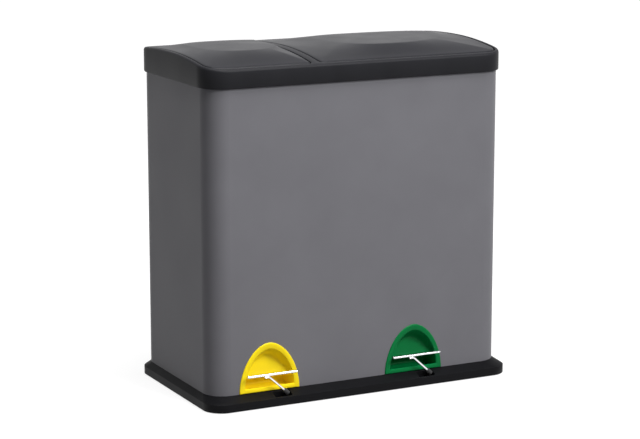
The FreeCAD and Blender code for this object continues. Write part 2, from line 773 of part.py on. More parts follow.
def lid(side):
    """One lid: a domed shell with a skirt, a rolled rear edge on two pins, and a lug for the rod."""
    left, right = (size(edge) for edge in SIDES[side]["pocket"])
    gap = size("lid_gap")
    wall = size("lid_wall")
    bottom = size("lid_skirt_height")
    top = size("crown_height") + MARGIN
    x0, x1 = left + gap, right - gap
    hinge = Vector(0, size(HINGE_Y), size("hinge_height"))
    roll_radius = size("knuckle_radius")

    def cylinder(radius, start, end):
        return Part.makeCylinder(radius, end - start, Vector(start, hinge.y, hinge.z), Vector(1, 0, 0))

    outside = lid_outline(side, 0.0, bottom, top).common(under_surface(side, 0.0, bottom))
    inside = lid_outline(side, wall, bottom - MARGIN, top)
    hollow = inside.common(under_surface(side, wall, bottom - MARGIN))
    shell = outside.cut(hollow)
    shell = shell.fuse(cylinder(roll_radius, x0, x1))
    boss = size("hinge_boss_length + hinge_boss_end")
    shell = shell.cut(cylinder(roll_radius - wall, x0 + boss, x1 - boss))
    lug_x = size(lever_plane(side)[1])
    shell = shell.fuse(lug(lug_x, hinge))
    hole = size("hinge_pin_radius + running_clearance")
    length = size("hinge_boss_length")
    shell = shell.cut(cylinder(hole, x0 - MARGIN, x0 + length))
    shell = shell.cut(cylinder(hole, x1 - length, x1 + MARGIN))
    shell = shell.cut(lug_slot(lug_x, hinge))
    return part_feature("lid_" + side, shell.removeSplitter())


def slot_solid(x, hinge, near, far, radius, thickness):
    """A round-ended bar along the crank's direction, as wide as the lug."""
    half_turn = math.radians(size("lid_opening") / 2)
    direction = Vector(0, -math.cos(half_turn), -math.sin(half_turn))
    start = Vector(x - thickness / 2, hinge.y, hinge.z)
    ends = [start + direction * reach for reach in (near, far)]
    across = Vector(0, -direction.z, direction.y) * radius
    corners = [ends[0] + across, ends[1] + across, ends[1] - across, ends[0] - across]
    bar = Part.Face(Part.makePolygon(corners + corners[:1])).extrude(Vector(thickness, 0, 0))
    for end in ends:
        bar = bar.fuse(Part.makeCylinder(radius, thickness, end, Vector(1, 0, 0)))
    return bar


def lug(x, hinge):
    """The lid's crank, under its rolled edge."""
    return slot_solid(x, hinge, size("knuckle_radius") - size("lid_wall") - 2 * BITE,
                      size("crank_radius + 2 * slot_end"),
                      size("rod_radius + slot_clearance + lug_wall"), size("lever_thickness"))


def lug_slot(x, hinge):
    """The slot in which the rod's hook slides as the lid turns."""
    reach = size("crank_radius")
    nearest = reach * math.cos(math.radians(size("lid_opening") / 2))
    end = size("slot_end")
    return slot_solid(x, hinge, nearest - end, reach + end, size("rod_radius + slot_clearance"),
                      3 * size("lever_thickness"))


def pedal_recess(side):
    """Coloured insert: a flange on the sheet's face and a tub behind it for the toe."""
    middle = size(SIDES[side]["pedal"])
    front = size(FRONT)
    half = size("recess_half_width")
    height = size("recess_height")
    gap = size("recess_clearance")
    base = size("plinth_top") + gap
    flange = size("recess_flange")
    sill = size("recess_sill")
    wall = size("recess_wall")
    proud = size("recess_proud")
    depth = size("recess_depth")
    cut = flange / 2
    plate = arch_solid(half, height - gap, middle, base, front - proud, front)
    tub = arch_solid(half - cut - gap, height - cut - 2 * gap, middle, base, front, front + depth)
    hollow = arch_solid(half - flange, height - gap - flange - sill, middle, base + sill,
                        front - proud - MARGIN, front + depth - wall)
    return part_feature("pedal_recess_" + side, plate.fuse(tub).cut(hollow).removeSplitter())


def bent_wire(points, radius, bend):
    """A round wire through the points, with an arc of the given radius at each corner."""
    edges = []
    start = points[0]
    for corner, following in zip(points[1:-1], points[2:]):
        arriving = (corner - start).normalize()
        leaving = (following - corner).normalize()
        turn = arriving.getAngle(leaving)
        reach = bend * math.tan(turn / 2)
        begin = corner - arriving * reach
        finish = corner + leaving * reach
        centre_way = (leaving - arriving).normalize()
        middle = corner + centre_way * (bend / math.cos(turn / 2) - bend)
        edges.append(Part.LineSegment(start, begin).toShape())
        edges.append(Part.Arc(begin, middle, finish).toShape())
        start = finish
    edges.append(Part.LineSegment(start, points[-1]).toShape())
    spine = Part.Wire(edges)
    way = (points[1] - points[0]).normalize()
    ring = Part.Wire([Part.makeCircle(radius, points[0], way)])
    return spine.makePipeShell([ring], True, False)


def foot_bar(side):
    """The round bar that the foot presses, with rounded ends."""
    middle = size(SIDES[side]["pedal"])
    radius = size("bar_radius")
    length = size("bar_length")
    place = Vector(middle - length / 2, size(BAR_Y), size("bar_height"))
    bar = Part.makeCylinder(radius, length, place, Vector(1, 0, 0))
    ends = [edge for edge in bar.Edges if edge.BoundBox.XLength < TOUCH]
    return part_feature("foot_bar_" + side, bar.makeFillet(size("bar_end_round"), ends))


def stem_path(side):
    """Under the bar, down to the plinth, and back to the lever arm."""
    bend_x = size(SIDES[side]["pedal"]) - size("stem_shift")
    y = size(BAR_Y)
    under_bar = size("bar_height - bar_radius - stem_radius")
    low = size("wire_height")
    wire_x = size(lever_plane(side)[0])
    return [
        Vector(bend_x - size("stem_stub"), y, under_bar),
        Vector(bend_x, y, under_bar),
        Vector(wire_x, y, low),
        Vector(wire_x, size(FRONT) + size("wire_end"), low),
    ]


def stem_wire(side):
    """The wire welded under the foot bar, with the lever arm welded to its other end."""
    wire = bent_wire(stem_path(side), size("stem_radius"), size("stem_bend"))
    return part_feature("stem_wire_" + side, wire)


def pedal_sleeve(side):
    """Black sleeve on the slanting wire, where it goes into the plinth."""
    _, top, foot, _ = stem_path(side)
    way = (top - foot).normalize()
    start = foot + way * size("stem_bend")
    length = size("sleeve_length")
    outer = Part.makeCylinder(size("sleeve_radius"), length, start, way)
    bore = Part.makeCylinder(size("stem_radius + running_clearance"), length + 2 * MARGIN,
                             start - way * MARGIN, way)
    return part_feature("pedal_sleeve_" + side, outer.cut(bore))


def lever_arm(side):
    """Flat steel arm: welded to the wire in front, on its pivot pin, and slotted for the rod."""
    body = new_body("lever_arm_" + side)
    arm = lever_plane(side)[1]
    half = "lever_width / 2"
    nose_front = "%s + lever_nose" % FRONT
    nose_back = "%s + lever_bend" % FRONT
    knee = "%s + lever_knee" % FRONT
    tail = "%s + rod_radius + lever_tail" % ROD_Y
    nose_low = "wire_height - lever_width / 4"
    corners = [
        (nose_front, nose_low),
        (nose_back, nose_low),
        (knee, "pivot_height - %s" % half),
        (tail, "pivot_height - %s" % half),
        (tail, "pivot_height + %s" % half),
        ("%s - 2 * lever_width / 3" % knee, "pivot_height + %s" % half),
        (nose_front, "wire_height + lever_width / 3"),
    ]
    sketch = new_sketch(body, "YZ_Plane", "%s - lever_thickness / 2" % arm)
    draw_polygon(sketch, corners)
    pad(body, sketch, "lever_thickness")
    boss = new_sketch(body, "YZ_Plane", "%s - lever_thickness / 2" % arm)
    draw_circle(boss, PIVOT_Y, "pivot_height", "%s + pivot_boss" % half)
    pad(body, boss, "lever_thickness")
    hole = new_sketch(body, "YZ_Plane", "%s - lever_thickness / 2" % arm)
    draw_circle(hole, PIVOT_Y, "pivot_height", "pivot_pin_radius + running_clearance")
    pocket(body, hole, "lever_thickness", reverse=True)
    slot = new_sketch(body, "YZ_Plane", "%s - lever_thickness / 2" % arm)
    reach = "(rod_radius + lever_slot_reach)"
    high = "(rod_radius + lever_slot_gap)"
    draw_slab(slot, "%s - %s" % (ROD_Y, reach), "%s + %s" % (ROD_Y, reach),
              "pivot_height - %s" % high, "pivot_height + %s" % high, same("rod_radius"))
    pocket(body, slot, "lever_thickness", reverse=True)
    return body


def lift_rod(side):
    """Rod with both ends bent over: the lower hook sits in the arm, the upper one in the lid's lug."""
    x = size(rod_x(side))
    y = size(ROD_Y)
    hook = x + size("rod_hook")
    path = [
        Vector(hook, y, size("pivot_height")),
        Vector(x, y, size("pivot_height")),
        Vector(x, y, size(ROD_TOP)),
        Vector(hook, y, size(ROD_TOP)),
    ]
    return part_feature("lift_rod_" + side, bent_wire(path, size("rod_radius"), size("rod_bend")))


def pivot_bracket(side):
    """Folded bracket screwed to the plinth's floor, with an ear on each side of the arm."""
    body = new_body("pivot_bracket_" + side)
    arm = lever_plane(side)[1]
    half_width = "bracket_width / 2"
    half_depth = "bracket_depth / 2"
    box_pad(body, "plinth_top", "plinth_top + bracket_gauge",
            ("%s - %s" % (arm, half_width), "%s + %s" % (arm, half_width),
             "%s - %s" % (PIVOT_Y, half_depth), "%s + %s" % (PIVOT_Y, half_depth)))
    inner = "(lever_thickness / 2 + side_clearance)"
    for sign in ("-", "+"):
        start = "%s %s %s" % (arm, sign, inner)
        if sign == "-":
            start += " - bracket_gauge"
        sketch = new_sketch(body, "YZ_Plane", start)
        top = "pivot_height + pivot_pin_radius + bracket_ear"
        draw_polygon(sketch, [
            ("%s - %s" % (PIVOT_Y, half_depth), "plinth_top"),
            ("%s + %s" % (PIVOT_Y, half_depth), "plinth_top"),
            ("%s + pivot_pin_radius + bracket_ear" % PIVOT_Y, top),
            ("%s - pivot_pin_radius - bracket_ear" % PIVOT_Y, top),
        ])
        pad(body, sketch, "bracket_gauge")
    hole = new_sketch(body, "YZ_Plane", "%s - %s" % (arm, half_width))
    draw_circle(hole, PIVOT_Y, "pivot_height", "pivot_pin_radius + running_clearance / 2")
    pocket(body, hole, "bracket_width", reverse=True)
    places = bracket_screw_places()
    start = 0 if side == "left" else 2
    hole_pocket(body, "plinth_top", "plinth_top + bracket_gauge", places[start:start + 2],
                "screw_radius + screw_clearance")
    return body


def cylinder_object(name, radius, start, length, axis=Vector(1, 0, 0)):
    """A Part cylinder along an axis, from a starting place given as expressions."""
    rod = document.addObject("Part::Cylinder", name)
    rod.Label = name
    bind(rod, "Radius", radius)
    bind(rod, "Height", length)
    rod.Placement = Placement(Vector(0, 0, 0), Rotation(Vector(0, 0, 1), axis))
    for letter, expression in zip("xyz", start):
        bind(rod, "Placement.Base.%s" % letter, expression)
    return rod


def pivot_pin(side):
    arm = lever_plane(side)[1]
    half = "(lever_thickness / 2 + side_clearance + bracket_gauge + pivot_pin_end)"
    return cylinder_object("pivot_pin_" + side, "pivot_pin_radius",
                           ("%s - %s" % (arm, half), PIVOT_Y, "pivot_height"), "2 * %s" % half)


def hinge_pins(side):
    """Two short pins, held in the frame, that the lid's bosses turn on."""
    spans = hinge_pin_spans("hinge_pin_hold - hinge_pin_gap")
    start = 0 if side == "left" else 2
    reach = "lid_gap + hinge_boss_length - 2 * hinge_pin_gap"
    pins = []
    for number, (first, last) in enumerate(spans[start:start + 2]):
        if number == 0:
            last = "%s + %s" % (last, reach)
        else:
            first = "%s - (%s)" % (first, reach)
        pin = cylinder_object("hinge_pin_%s_%d" % (side, number), "hinge_pin_radius - hinge_pin_ease",
                              (first, HINGE_Y, "hinge_height"), "%s - (%s)" % (last, first))
        pins.append(pin)
    return group("hinge_pins_" + side, pins)


def group(name, members):
    """Separate solids of one kind, kept together under one name."""
    compound = document.addObject("Part::Compound", name)
    compound.Label = name
    compound.Links = members
    return compound


def rod_guides(side):
    """Two moulded clips on the rear wall that keep the rod upright."""
    x = rod_x(side)
    clips = []
    for number, height in enumerate(("guide_low", "guide_high")):
        clip = new_body("rod_guide_%s_%d" % (side, number))
        box_pad(clip, height, "%s + guide_height" % height,
                ("%s - guide_width / 2" % x, "%s + guide_width / 2" % x,
                 "%s - rod_radius - guide_lip" % ROD_Y, "%s - sheet_metal" % BACK))
        hole_pocket(clip, height, "%s + guide_height" % height, [(x, ROD_Y)],
                    "rod_radius + running_clearance")
        bore = new_sketch(clip, "XZ_Plane", "-(%s - sheet_metal)" % BACK)
        draw_circle(bore, x, "%s + guide_height / 2" % height, "screw_radius")
        pocket(clip, bore, "screw_length", reverse=True)
        clips.append(clip)
    return group("rod_guides_" + side, clips)


def guide_rivets():
    """Rivets through the rear wall into the clips, heads outside."""
    rivets = []
    for number, (x, middle) in enumerate(rivet_places()):
        rivet = new_body("guide_rivet_%d" % number)
        shank = new_sketch(rivet, "XZ_Plane", "-(%s)" % BACK)
        draw_circle(shank, x, middle, "screw_radius")
        pad(rivet, shank, "screw_length + sheet_metal - screw_gap")
        head = new_sketch(rivet, "XZ_Plane", "-(%s)" % BACK)
        draw_circle(head, x, middle, "rivet_head")
        pad(rivet, head, "rivet_head_height", reverse=True)
        rivets.append(rivet)
    return group("guide_rivets", rivets)


def bucket(side):
    """Lift-out bucket with a rim to lift it by. Its front wall leans back, clear of the recess."""
    body = new_body("bucket_" + side)
    left, right = SIDES[side]["pocket"]
    clear = "(seat_ledge + bucket_gap + bucket_rim)"
    edges = ("%s + %s" % (left, clear), "%s - %s" % (right, clear),
             "%s + bucket_gap + bucket_rim" % WASTE_FRONT, "%s - bucket_gap - bucket_rim" % WASTE_BACK)

    def drawn(inset, corner, height, front=edges[2]):
        sketch = new_sketch(body, "XY_Plane", height)
        draw_slab(sketch, "%s + %s" % (edges[0], inset), "%s - (%s)" % (edges[1], inset),
                  front, "%s - (%s)" % (edges[3], inset), same(corner))
        return sketch

    outer = body.newObject("PartDesign::AdditiveLoft", body.Name + "_outside")
    outer.Profile = drawn("bucket_taper", "bucket_corner", "bucket_floor", TOE_ROOM)
    outer.Sections = [drawn("0", "bucket_corner", "bucket_top")]
    outer.Ruled = True
    rim = drawn("-bucket_rim", "bucket_corner + bucket_rim", "bucket_top - bucket_wall",
                edges[2] + " - bucket_rim")
    pad(body, rim, "bucket_wall")
    document.recompute()
    inner = body.newObject("PartDesign::SubtractiveLoft", body.Name + "_inside")
    inner.Profile = drawn("bucket_taper + bucket_wall", "bucket_corner - bucket_wall",
                          "bucket_floor + bucket_wall", TOE_ROOM + " + bucket_wall")
    inner.Sections = [drawn("bucket_wall", "bucket_corner - bucket_wall", "bucket_top",
                            edges[2] + " + bucket_wall")]
    inner.Ruled = True
    document.recompute()
    return body


def lid_bumpers():
    """Rubber dots on the frame's ledge under the front skirt of each lid."""
    dots = []
    y = "%s + lid_gap + lid_wall / 2" % POCKET_FRONT
    for side, data in SIDES.items():
        left, right = data["pocket"]
        for number, x in enumerate((left + " + bumper_inset", right + " - bumper_inset")):
            dot = cylinder_object("bumper_%s_%d" % (side, number), "bumper_radius",
                                  (x, y, "seat_height"), "lid_skirt_height - seat_height - lid_lift",
                                  Vector(0, 0, 1))
            dots.append(dot)
    return group("lid_bumpers", dots)


def rubber_feet():
    """Feet under the plinth's pegs."""
    feet = []
    for number, (x, y) in enumerate(foot_places()):
        foot = cylinder_object("foot_%d" % number, "foot_radius", (x, y, "0"), "foot_height",
                               Vector(0, 0, 1))
        feet.append(foot)
    return group("rubber_feet", feet)


def screw(name, x, y, head_bottom, shank_end):
    """A screw driven upwards: its head above head_bottom, and its shank on up to shank_end."""
    body = new_body(name)
    peg_pad(body, head_bottom, "%s + screw_head_height" % head_bottom, [(x, y)], "screw_head")
    peg_pad(body, head_bottom, shank_end, [(x, y)], "screw_radius")
    return body


def base_screws():
    """Screws up through the plinth's floor into the hem of the body."""
    head = "%s - screw_head_height" % FLOOR_UNDERSIDE
    screws = [screw("base_screw_%d" % number, x, y, head, "plinth_top + screw_length")
              for number, (x, y) in enumerate(screw_places())]
    return group("base_screws", screws)


def frame_screws():
    """Screws up through the body's top hem into the pegs under the frame."""
    head = "body_top - sheet_metal - screw_head_height"
    end = "body_top + screw_length - 3 * sheet_metal"
    screws = [screw("frame_screw_%d" % number, x, y, head, end)
              for number, (x, y) in enumerate(screw_places())]
    return group("frame_screws", screws)


def bracket_screws():
    """Screws down through the pivot brackets into the plinth's floor."""
    screws = []
    for number, (x, y) in enumerate(bracket_screw_places()):
        body = new_body("bracket_screw_%d" % number)
        top = "plinth_top + bracket_gauge"
        peg_pad(body, top, "%s + screw_head_height" % top, [(x, y)], "screw_head")
        peg_pad(body, "%s - screw_radius" % FLOOR_UNDERSIDE, "%s + %s" % (top, BITE), [(x, y)],
                "screw_radius")
        screws.append(body)
    return group("bracket_screws", screws)


def build():
    nodes = [body_shell(), base_plinth(), lid_frame(), rubber_feet(), lid_bumpers()]
    nodes += [base_screws(), frame_screws(), bracket_screws(), guide_rivets()]
    for side in SIDES:
        nodes += [bucket(side), pedal_recess(side), rod_guides(side), pivot_bracket(side)]
        nodes += [pivot_pin(side), hinge_pins(side), lid(side), foot_bar(side), stem_wire(side)]
        nodes += [pedal_sleeve(side), lever_arm(side), lift_rod(side)]
    document.recompute()
    return nodes


def check(nodes):
    """Stops before anything is written if an object failed or a shape isn't sound."""
    for item in document.Objects:
        if "Invalid" in item.State or "Error" in item.State:
            raise ValueError("%s failed: %s" % (item.Name, item.State))
    for node in nodes:
        if node.Shape.isNull() or not node.Shape.isValid():
            raise ValueError("%s has no valid shape" % node.Label)


def export(nodes):
    """Writes one file for each node."""
    os.makedirs("parts", exist_ok=True)
    for node in nodes:
        node.Shape.exportStep("parts/%s.step" % node.Label)
        print(node.Label, len(node.Shape.Solids), round(node.Shape.Volume), node.Shape.BoundBox)


all_nodes = build()
check(all_nodes)
export(all_nodes)
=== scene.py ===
"""Looks of the double recycling bin: camera, studio, materials, and the pieces whose finished form
is rounder than the frame's solids. Shapes are written in millimetres in the frame's own axes: X to
the right seen from the front, Y to the back, Z up."""

import json
import math

import bpy
import bmesh
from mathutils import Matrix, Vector
from mathutils.geometry import delaunay_2d_cdt


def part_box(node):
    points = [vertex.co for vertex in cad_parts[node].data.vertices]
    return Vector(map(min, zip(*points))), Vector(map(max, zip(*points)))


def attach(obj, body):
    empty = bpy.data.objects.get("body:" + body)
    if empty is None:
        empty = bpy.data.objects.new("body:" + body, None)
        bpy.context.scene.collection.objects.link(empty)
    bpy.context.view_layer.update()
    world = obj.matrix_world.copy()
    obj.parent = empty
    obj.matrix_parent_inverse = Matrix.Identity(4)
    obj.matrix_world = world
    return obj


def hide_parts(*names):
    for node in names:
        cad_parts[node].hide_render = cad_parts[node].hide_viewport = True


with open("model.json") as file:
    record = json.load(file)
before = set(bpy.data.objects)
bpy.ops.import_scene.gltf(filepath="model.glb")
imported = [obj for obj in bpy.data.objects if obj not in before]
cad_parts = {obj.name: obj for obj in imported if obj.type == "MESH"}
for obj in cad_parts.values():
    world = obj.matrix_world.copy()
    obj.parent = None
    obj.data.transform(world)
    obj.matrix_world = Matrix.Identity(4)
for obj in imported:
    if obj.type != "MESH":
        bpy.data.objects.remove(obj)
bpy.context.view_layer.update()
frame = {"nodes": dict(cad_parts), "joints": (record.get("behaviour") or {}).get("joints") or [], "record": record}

MM = 0.001
WELD_DISTANCE = 0.00001             # corners this near are one corner, in metres
TINY = 1e-6


def node_box(name):
    """A frame node's lowest and highest corners, in millimetres."""
    low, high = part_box(name)
    return low / MM, high / MM


def joint_place(name):
    """A joint's anchor, in millimetres."""
    joint = next(item for item in frame["joints"] if item["name"] == name)
    return Vector(joint["pos_m"]) / MM


# Places taken from the frame.
SHELL_LOW, SHELL_HIGH = node_box("body_shell")
RIM_LOW, RIM_HIGH = node_box("lid_frame")
PLINTH_HIGH = node_box("base_plinth")[1]
HINGE = joint_place("lid_left_hinge")
FRONT = SHELL_LOW.y                 # the body's front face
SIDE = SHELL_HIGH.x                 # half the body's width
BODY_FOOT = SHELL_LOW.z             # the body's lower edge, level with the plinth's ledge
OVERHANG = RIM_HIGH.x - SIDE        # how far the lid frame stands out from the body
BODY_CORNER = 37.0

# Lid frame.
RIM_ROUND = 4.2                     # rounding of the rim's outer top edge
POCKET_ROUND = 1.4                  # rounding of the edges that face the lids
RIM_BEVEL = 2.5
RIM_BEVEL_EASE = 0.3                # share of the bevel taken by its softened lower edge
RIM_SLIP = 0.2                      # gap between the body and the frame round it
FRAME_COUNTS = (90, 44)             # pieces along the frame's long and short sides
SEAT = 578.0
SEAT_UNDER = 571.5
ARCH_TOP = 604.5
ARCH_Y = FRONT + 165.0
ARCH_FRONT_RADIUS = 890.0
ARCH_REAR_RADIUS = 1288.0
WASTE_LEDGE = 8.0
WASTE_CORNER = 8.5
ROD_RADIUS = 2.5
ROD_ROOM = 9.0                      # from the rod's middle to the waste hole's back edge
NOTCH_WIDTH = (4.0, 13.0)           # from the rod's middle to the notch's sides
NOTCH_DEPTH = 17.0

# Lids.
LID_GAP = 2.1
LID_WALL = 2.5
LID_ROOF = 3.1                      # thickness of the roof, measured down
LID_EDGE_ROUND = 2.2
LID_BACK_CORNER = 0.4
LID_BACK_SHARE = 0.2                # how much of an inset the back edge, over the hinge, takes
LID_GRID = 4.0                      # spacing of the points that carry a lid's surface
LID_GRID_MARGIN = 2.5
SKIRT_BOTTOM = 580.3
CREST_Y = FRONT + 205.0
CREST_TOP = 609.6
CREST_DOME = 1.9
CREST_LIMIT = 0.94                  # how much of the way to the lid's edge the crest may reach
CREST_BACK = 0.55                   # how much of the way to the hinge the crest reaches
CREST_POWERS = (2.7, 2.2)           # roundness of the crest's left and right halves
CREASE_STEPS = 180
CREASE_SHARES = (0.985, 1.015)      # just inside and just outside the crest's edge
ROLL_RADIUS = 6.5
ROLL_CHAMFER = 0.8
ROLL_INSIDE = 597.0                 # a height inside the roll's wall, over the pins
ROLL_STRIP = 2.0                    # depth of the skirt's strip that is part of the roll
PIN_BORE = 2.55
LUG_ANGLE = 37.5                    # the lug's slope at rest, half of the lid's opening
LUG_BODY = (2.0, 15.0, 6.3)         # near and far reach from the hinge, and radius
LUG_SLOT = (10.6, 14.5, 3.3)

SIDES = {
    "left": {
        "pocket": (-284.5, -90.5),
        "corners": (30.0, 8.5),
        "crest": {"x": -172.0, "left": 67.0, "right": 88.0, "front": 115.0},
    },
    "right": {
        "pocket": (-75.5, 284.5),
        "corners": (8.5, 30.0),
        "crest": {"x": 101.0, "left": 93.0, "right": 150.0, "front": 133.0},
    },
}
POCKET_FRONT = FRONT + 5.0
POCKET_BACK = HINGE.y + ROLL_RADIUS + 1.2
POCKET_BACK_CORNER = 2.0

# Pedal recesses.
RECESS_HALF = 57.5                  # half the flange's width
RECESS_HEIGHT = 85.7
RECESS_POWER = 1.85                 # roundness of the arch
RECESS_PROUD = 2.0                  # how far the flange's face stands out from the body
RECESS_LIFT = 0.3                   # gap between the flange and the plinth
RECESS_STEPS = 72                   # pieces along the arch
RECESS_BASE_COUNT = 24              # pieces along the sill
FLANGE = 10.5
SILL = 7.8
FLANGE_PROFILE = (                  # inset, lift of the sill, and depth behind the flange's face
    (0.0, 0.0, RECESS_PROUD - 0.05),
    (0.0, 0.0, 1.2),
    (0.35, 0.3, 0.5),
    (1.3, 0.9, 0.05),
    (2.4, 1.6, 0.0),
    (FLANGE - 1.0, SILL - 0.8, 0.0),
    (FLANGE - 0.3, SILL - 0.2, 0.25),
    (FLANGE + 0.2, SILL, 0.9),
    (FLANGE + 0.4, SILL + 0.1, 2.0),
)
TUB_DEPTH = 37.0
TUB_WALL = 1.6
TUB_INSET = FLANGE - 1.2
CAVITY_INSET = FLANGE + 1.2         # from the flange's outer edge to the cavity's
CAVITY_HALF = RECESS_HALF - CAVITY_INSET
CAVITY_HEIGHT = RECESS_HEIGHT - SILL - CAVITY_INSET
CAVITY_GRID = 1.6                   # spacing of the points that carry the cavity's surface
CAVITY_GRID_START = 0.6
CAVITY_GRID_MARGIN = 1.02           # a point this much farther out is still in the cavity
BOWL_DEPTH = 19.0
BOWL_EDGE = 0.36                    # share of the way in over which the bowl's wall curves
BOWL_POWER = 2.2
BOWL_BLEND = 0.25                   # how much the bowl deepens the shelf where it is deeper
SHELF_START = 7.0                   # depth of the shelf at its lip
SHELF_FALL = 12.0                   # how much deeper it is at its top
SHELF_HEIGHT = 34.0
SHELF_POWER = 0.8
POCKET_LIP = 20.0                   # height of the bowl's lip above the sill
POCKET_LIP_ROUND = 3.0
POCKET_SIDE_ROUND = 5.0
POCKET_SILL_ROUND = 2.5
POCKET_DROP = 7.2                   # how far the toe pocket's floor falls behind the sill
POCKET_FALL = 9.0                   # depth at which it has fallen

# Pedal sleeves.
WIRE_TOP = (-6.0, 53.1)             # places on the wire: X from the recess's middle, and Z
WIRE_FOOT = (28.0, 22.0)
SLEEVE_BELOW = 3.2                  # how far it reaches down and up the wire from the foot
SLEEVE_ABOVE = 8.5
SLEEVE_RADIUS = 3.9


# ---------------------------------------------------------------- mesh helpers

def arc(centre, radius, start, end, steps):
    """Points on an arc, angles in degrees."""
    points = []
    for step in range(steps + 1):
        angle = math.radians(start + (end - start) * step / steps)
        points.append((centre[0] + radius * math.cos(angle), centre[1] + radius * math.sin(angle)))
    return points


def between(start, end, count):
    """The points that part a line into count equal pieces, both ends left out."""
    return [tuple(a + (b - a) * step / count for a, b in zip(start, end))
            for step in range(1, count)]


def rounded_outline(left, right, front, back, radii, counts=(48, 24), steps=8):
    """A rectangle with rounded corners as a loop of points, anticlockwise from the front left.
    radii: front left, front right, back right, back left. counts: pieces along X and along Y."""
    turns = [
        ((left + radii[0], front + radii[0]), radii[0], 180, 270),
        ((right - radii[1], front + radii[1]), radii[1], 270, 360),
        ((right - radii[2], back - radii[2]), radii[2], 0, 90),
        ((left + radii[3], back - radii[3]), radii[3], 90, 180),
    ]
    corners = [arc(*turn, steps) for turn in turns]
    outline = []
    for index, corner in enumerate(corners):
        outline += corner
        outline += between(corner[-1], corners[(index + 1) % 4][0], counts[index % 2])
    return outline


def at_level(outline, height):
    """An outline as a ring of corners at one height."""
    return [(x, y, height) for x, y in outline]


def edge_round(radius, steps=4):
    """Inset and drop of each ring of a rounded edge, from the wall up to the top."""
    turns = [math.radians(90 * step / steps) for step in range(steps, -1, -1)]
    return [(radius * (1 - math.sin(turn)), radius * (1 - math.cos(turn))) for turn in turns]


def inside(point, outline):
    """Whether a point lies in a closed outline."""
    x, y = point
    hit = False
    for (x0, y0), (x1, y1) in zip(outline, outline[1:] + outline[:1]):
        if (y0 > y) != (y1 > y) and x < x0 + (x1 - x0) * (y - y0) / (y1 - y0):
            hit = not hit
    return hit


def nearest(place, points):
    """The number of the point that is nearest a place."""
    return min(range(len(points)), key=lambda index: math.dist(points[index], place))


class Shape:
    """A mesh in the making: corners in millimetres, and faces."""

    def __init__(self):
        self.corners = []
        self.faces = []

    def loop(self, points):
        """Adds a ring of corners and gives their numbers."""
        first = len(self.corners)
        self.corners += [tuple(point) for point in points]
        return list(range(first, len(self.corners)))

    def bridge(self, lower, upper):
        """Faces between two closed rings of equal count."""
        count = len(lower)
        for index in range(count):
            after = (index + 1) % count
            self.faces.append((lower[index], lower[after], upper[after], upper[index]))

    def stack(self, rings):
        """Bridges each ring to the next and gives all their numbers."""
        numbers = [self.loop(ring) for ring in rings]
        for lower, upper in zip(numbers, numbers[1:]):
            self.bridge(lower, upper)
        return numbers

    def join(self, faces, corners):
        """Adds another shape's faces over corners of their own."""
        first = len(self.corners)
        self.corners += corners
        self.faces += [tuple(number + first for number in face) for face in faces]

    def fill(self, outer, holes=(), extra=(), height=None):
        """Triangles inside a ring of corners and outside the holes in it, over extra points whose
        height a function of their place gives."""
        rings = [outer] + list(holes)
        outlines = [[self.corners[number][:2] for number in ring] for ring in rings]
        numbers = [number for ring in rings for number in ring]
        edges = []
        for ring in rings:
            start, count = len(edges), len(ring)
            edges += [(start + index, start + (index + 1) % count) for index in range(count)]
        numbers += self.loop([(x, y, height(x, y)) for x, y in extra])
        flat = [Vector(self.corners[number][:2]) for number in numbers]
        places, _, faces, origins, _, _ = delaunay_2d_cdt(flat, edges, [], 0, 1e-4)
        owners = [numbers[origin[0] if origin else nearest(place, flat)]
                  for place, origin in zip(places, origins)]
        for face in faces:
            middle = sum((places[index] for index in face), Vector((0, 0))) / len(face)
            in_outer, *in_holes = [inside(middle, outline) for outline in outlines]
            corners = tuple(owners[index] for index in face)
            if in_outer and not any(in_holes) and len(set(corners)) == len(corners):
                self.faces.append(corners)

    def turned(self, profile, start, end, across=None, sides=32):
        """Rings turned about a line and bridged. profile holds each ring's place along the line,
        from 0 to 1, and its radius. across is the way to the first corner of a ring."""
        start, end = Vector(start), Vector(end)
        axis = (end - start).normalized()
        across = Vector(across) if across else axis.orthogonal().normalized()
        third = axis.cross(across)
        turns = [math.tau * side / sides for side in range(sides)]
        spokes = [across * math.cos(turn) + third * math.sin(turn) for turn in turns]
        return self.stack([[start.lerp(end, place) + spoke * radius for spoke in spokes]
                           for place, radius in profile])

    def mesh(self, name):
        """The shape as a Blender mesh, in metres."""
        mesh = bpy.data.meshes.new(name)
        mesh.from_pydata([[value * MM for value in corner] for corner in self.corners], [],
                         self.faces)
        return mesh


def put(name, data):
    """A new object in the scene."""
    item = bpy.data.objects.new(name, data)
    bpy.context.scene.collection.objects.link(item)
    return item


def add_piece(name, shape, material, body, replaced, crease=32.0):
    """Makes a shape an object that rides on a body and stands for frame nodes. Edges sharper than
    the crease, in degrees, stay sharp."""
    mesh = shape.mesh(name)
    work = bmesh.new()
    work.from_mesh(mesh)
    bmesh.ops.remove_doubles(work, verts=work.verts, dist=WELD_DISTANCE)
    bmesh.ops.dissolve_degenerate(work, edges=work.edges, dist=TINY)
    bmesh.ops.recalc_face_normals(work, faces=work.faces)
    work.to_mesh(mesh)
    work.free()
    mesh.shade_smooth()
    mesh.set_sharp_from_angle(angle=math.radians(crease))
    mesh.materials.append(material)
    piece = put(name, mesh)
    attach(piece, body)
    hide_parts(*replaced)


# ---------------------------------------------------------------- shader helpers

def map_range(tree, value, source, target, smooth=False):
    """A value taken from the source range to the target range. Each end of the target is a number
    or another node's output."""
    node = tree.nodes.new("ShaderNodeMapRange")
    if smooth:
        node.interpolation_type = "SMOOTHSTEP"
    tree.links.new(value, node.inputs["Value"])
    ends = zip(("From Min", "From Max", "To Min", "To Max"), (*source, *target))
    for name, end in ends:
        if isinstance(end, float):
            node.inputs[name].default_value = end
        else:
            tree.links.new(end, node.inputs[name])
    return node.outputs["Result"]


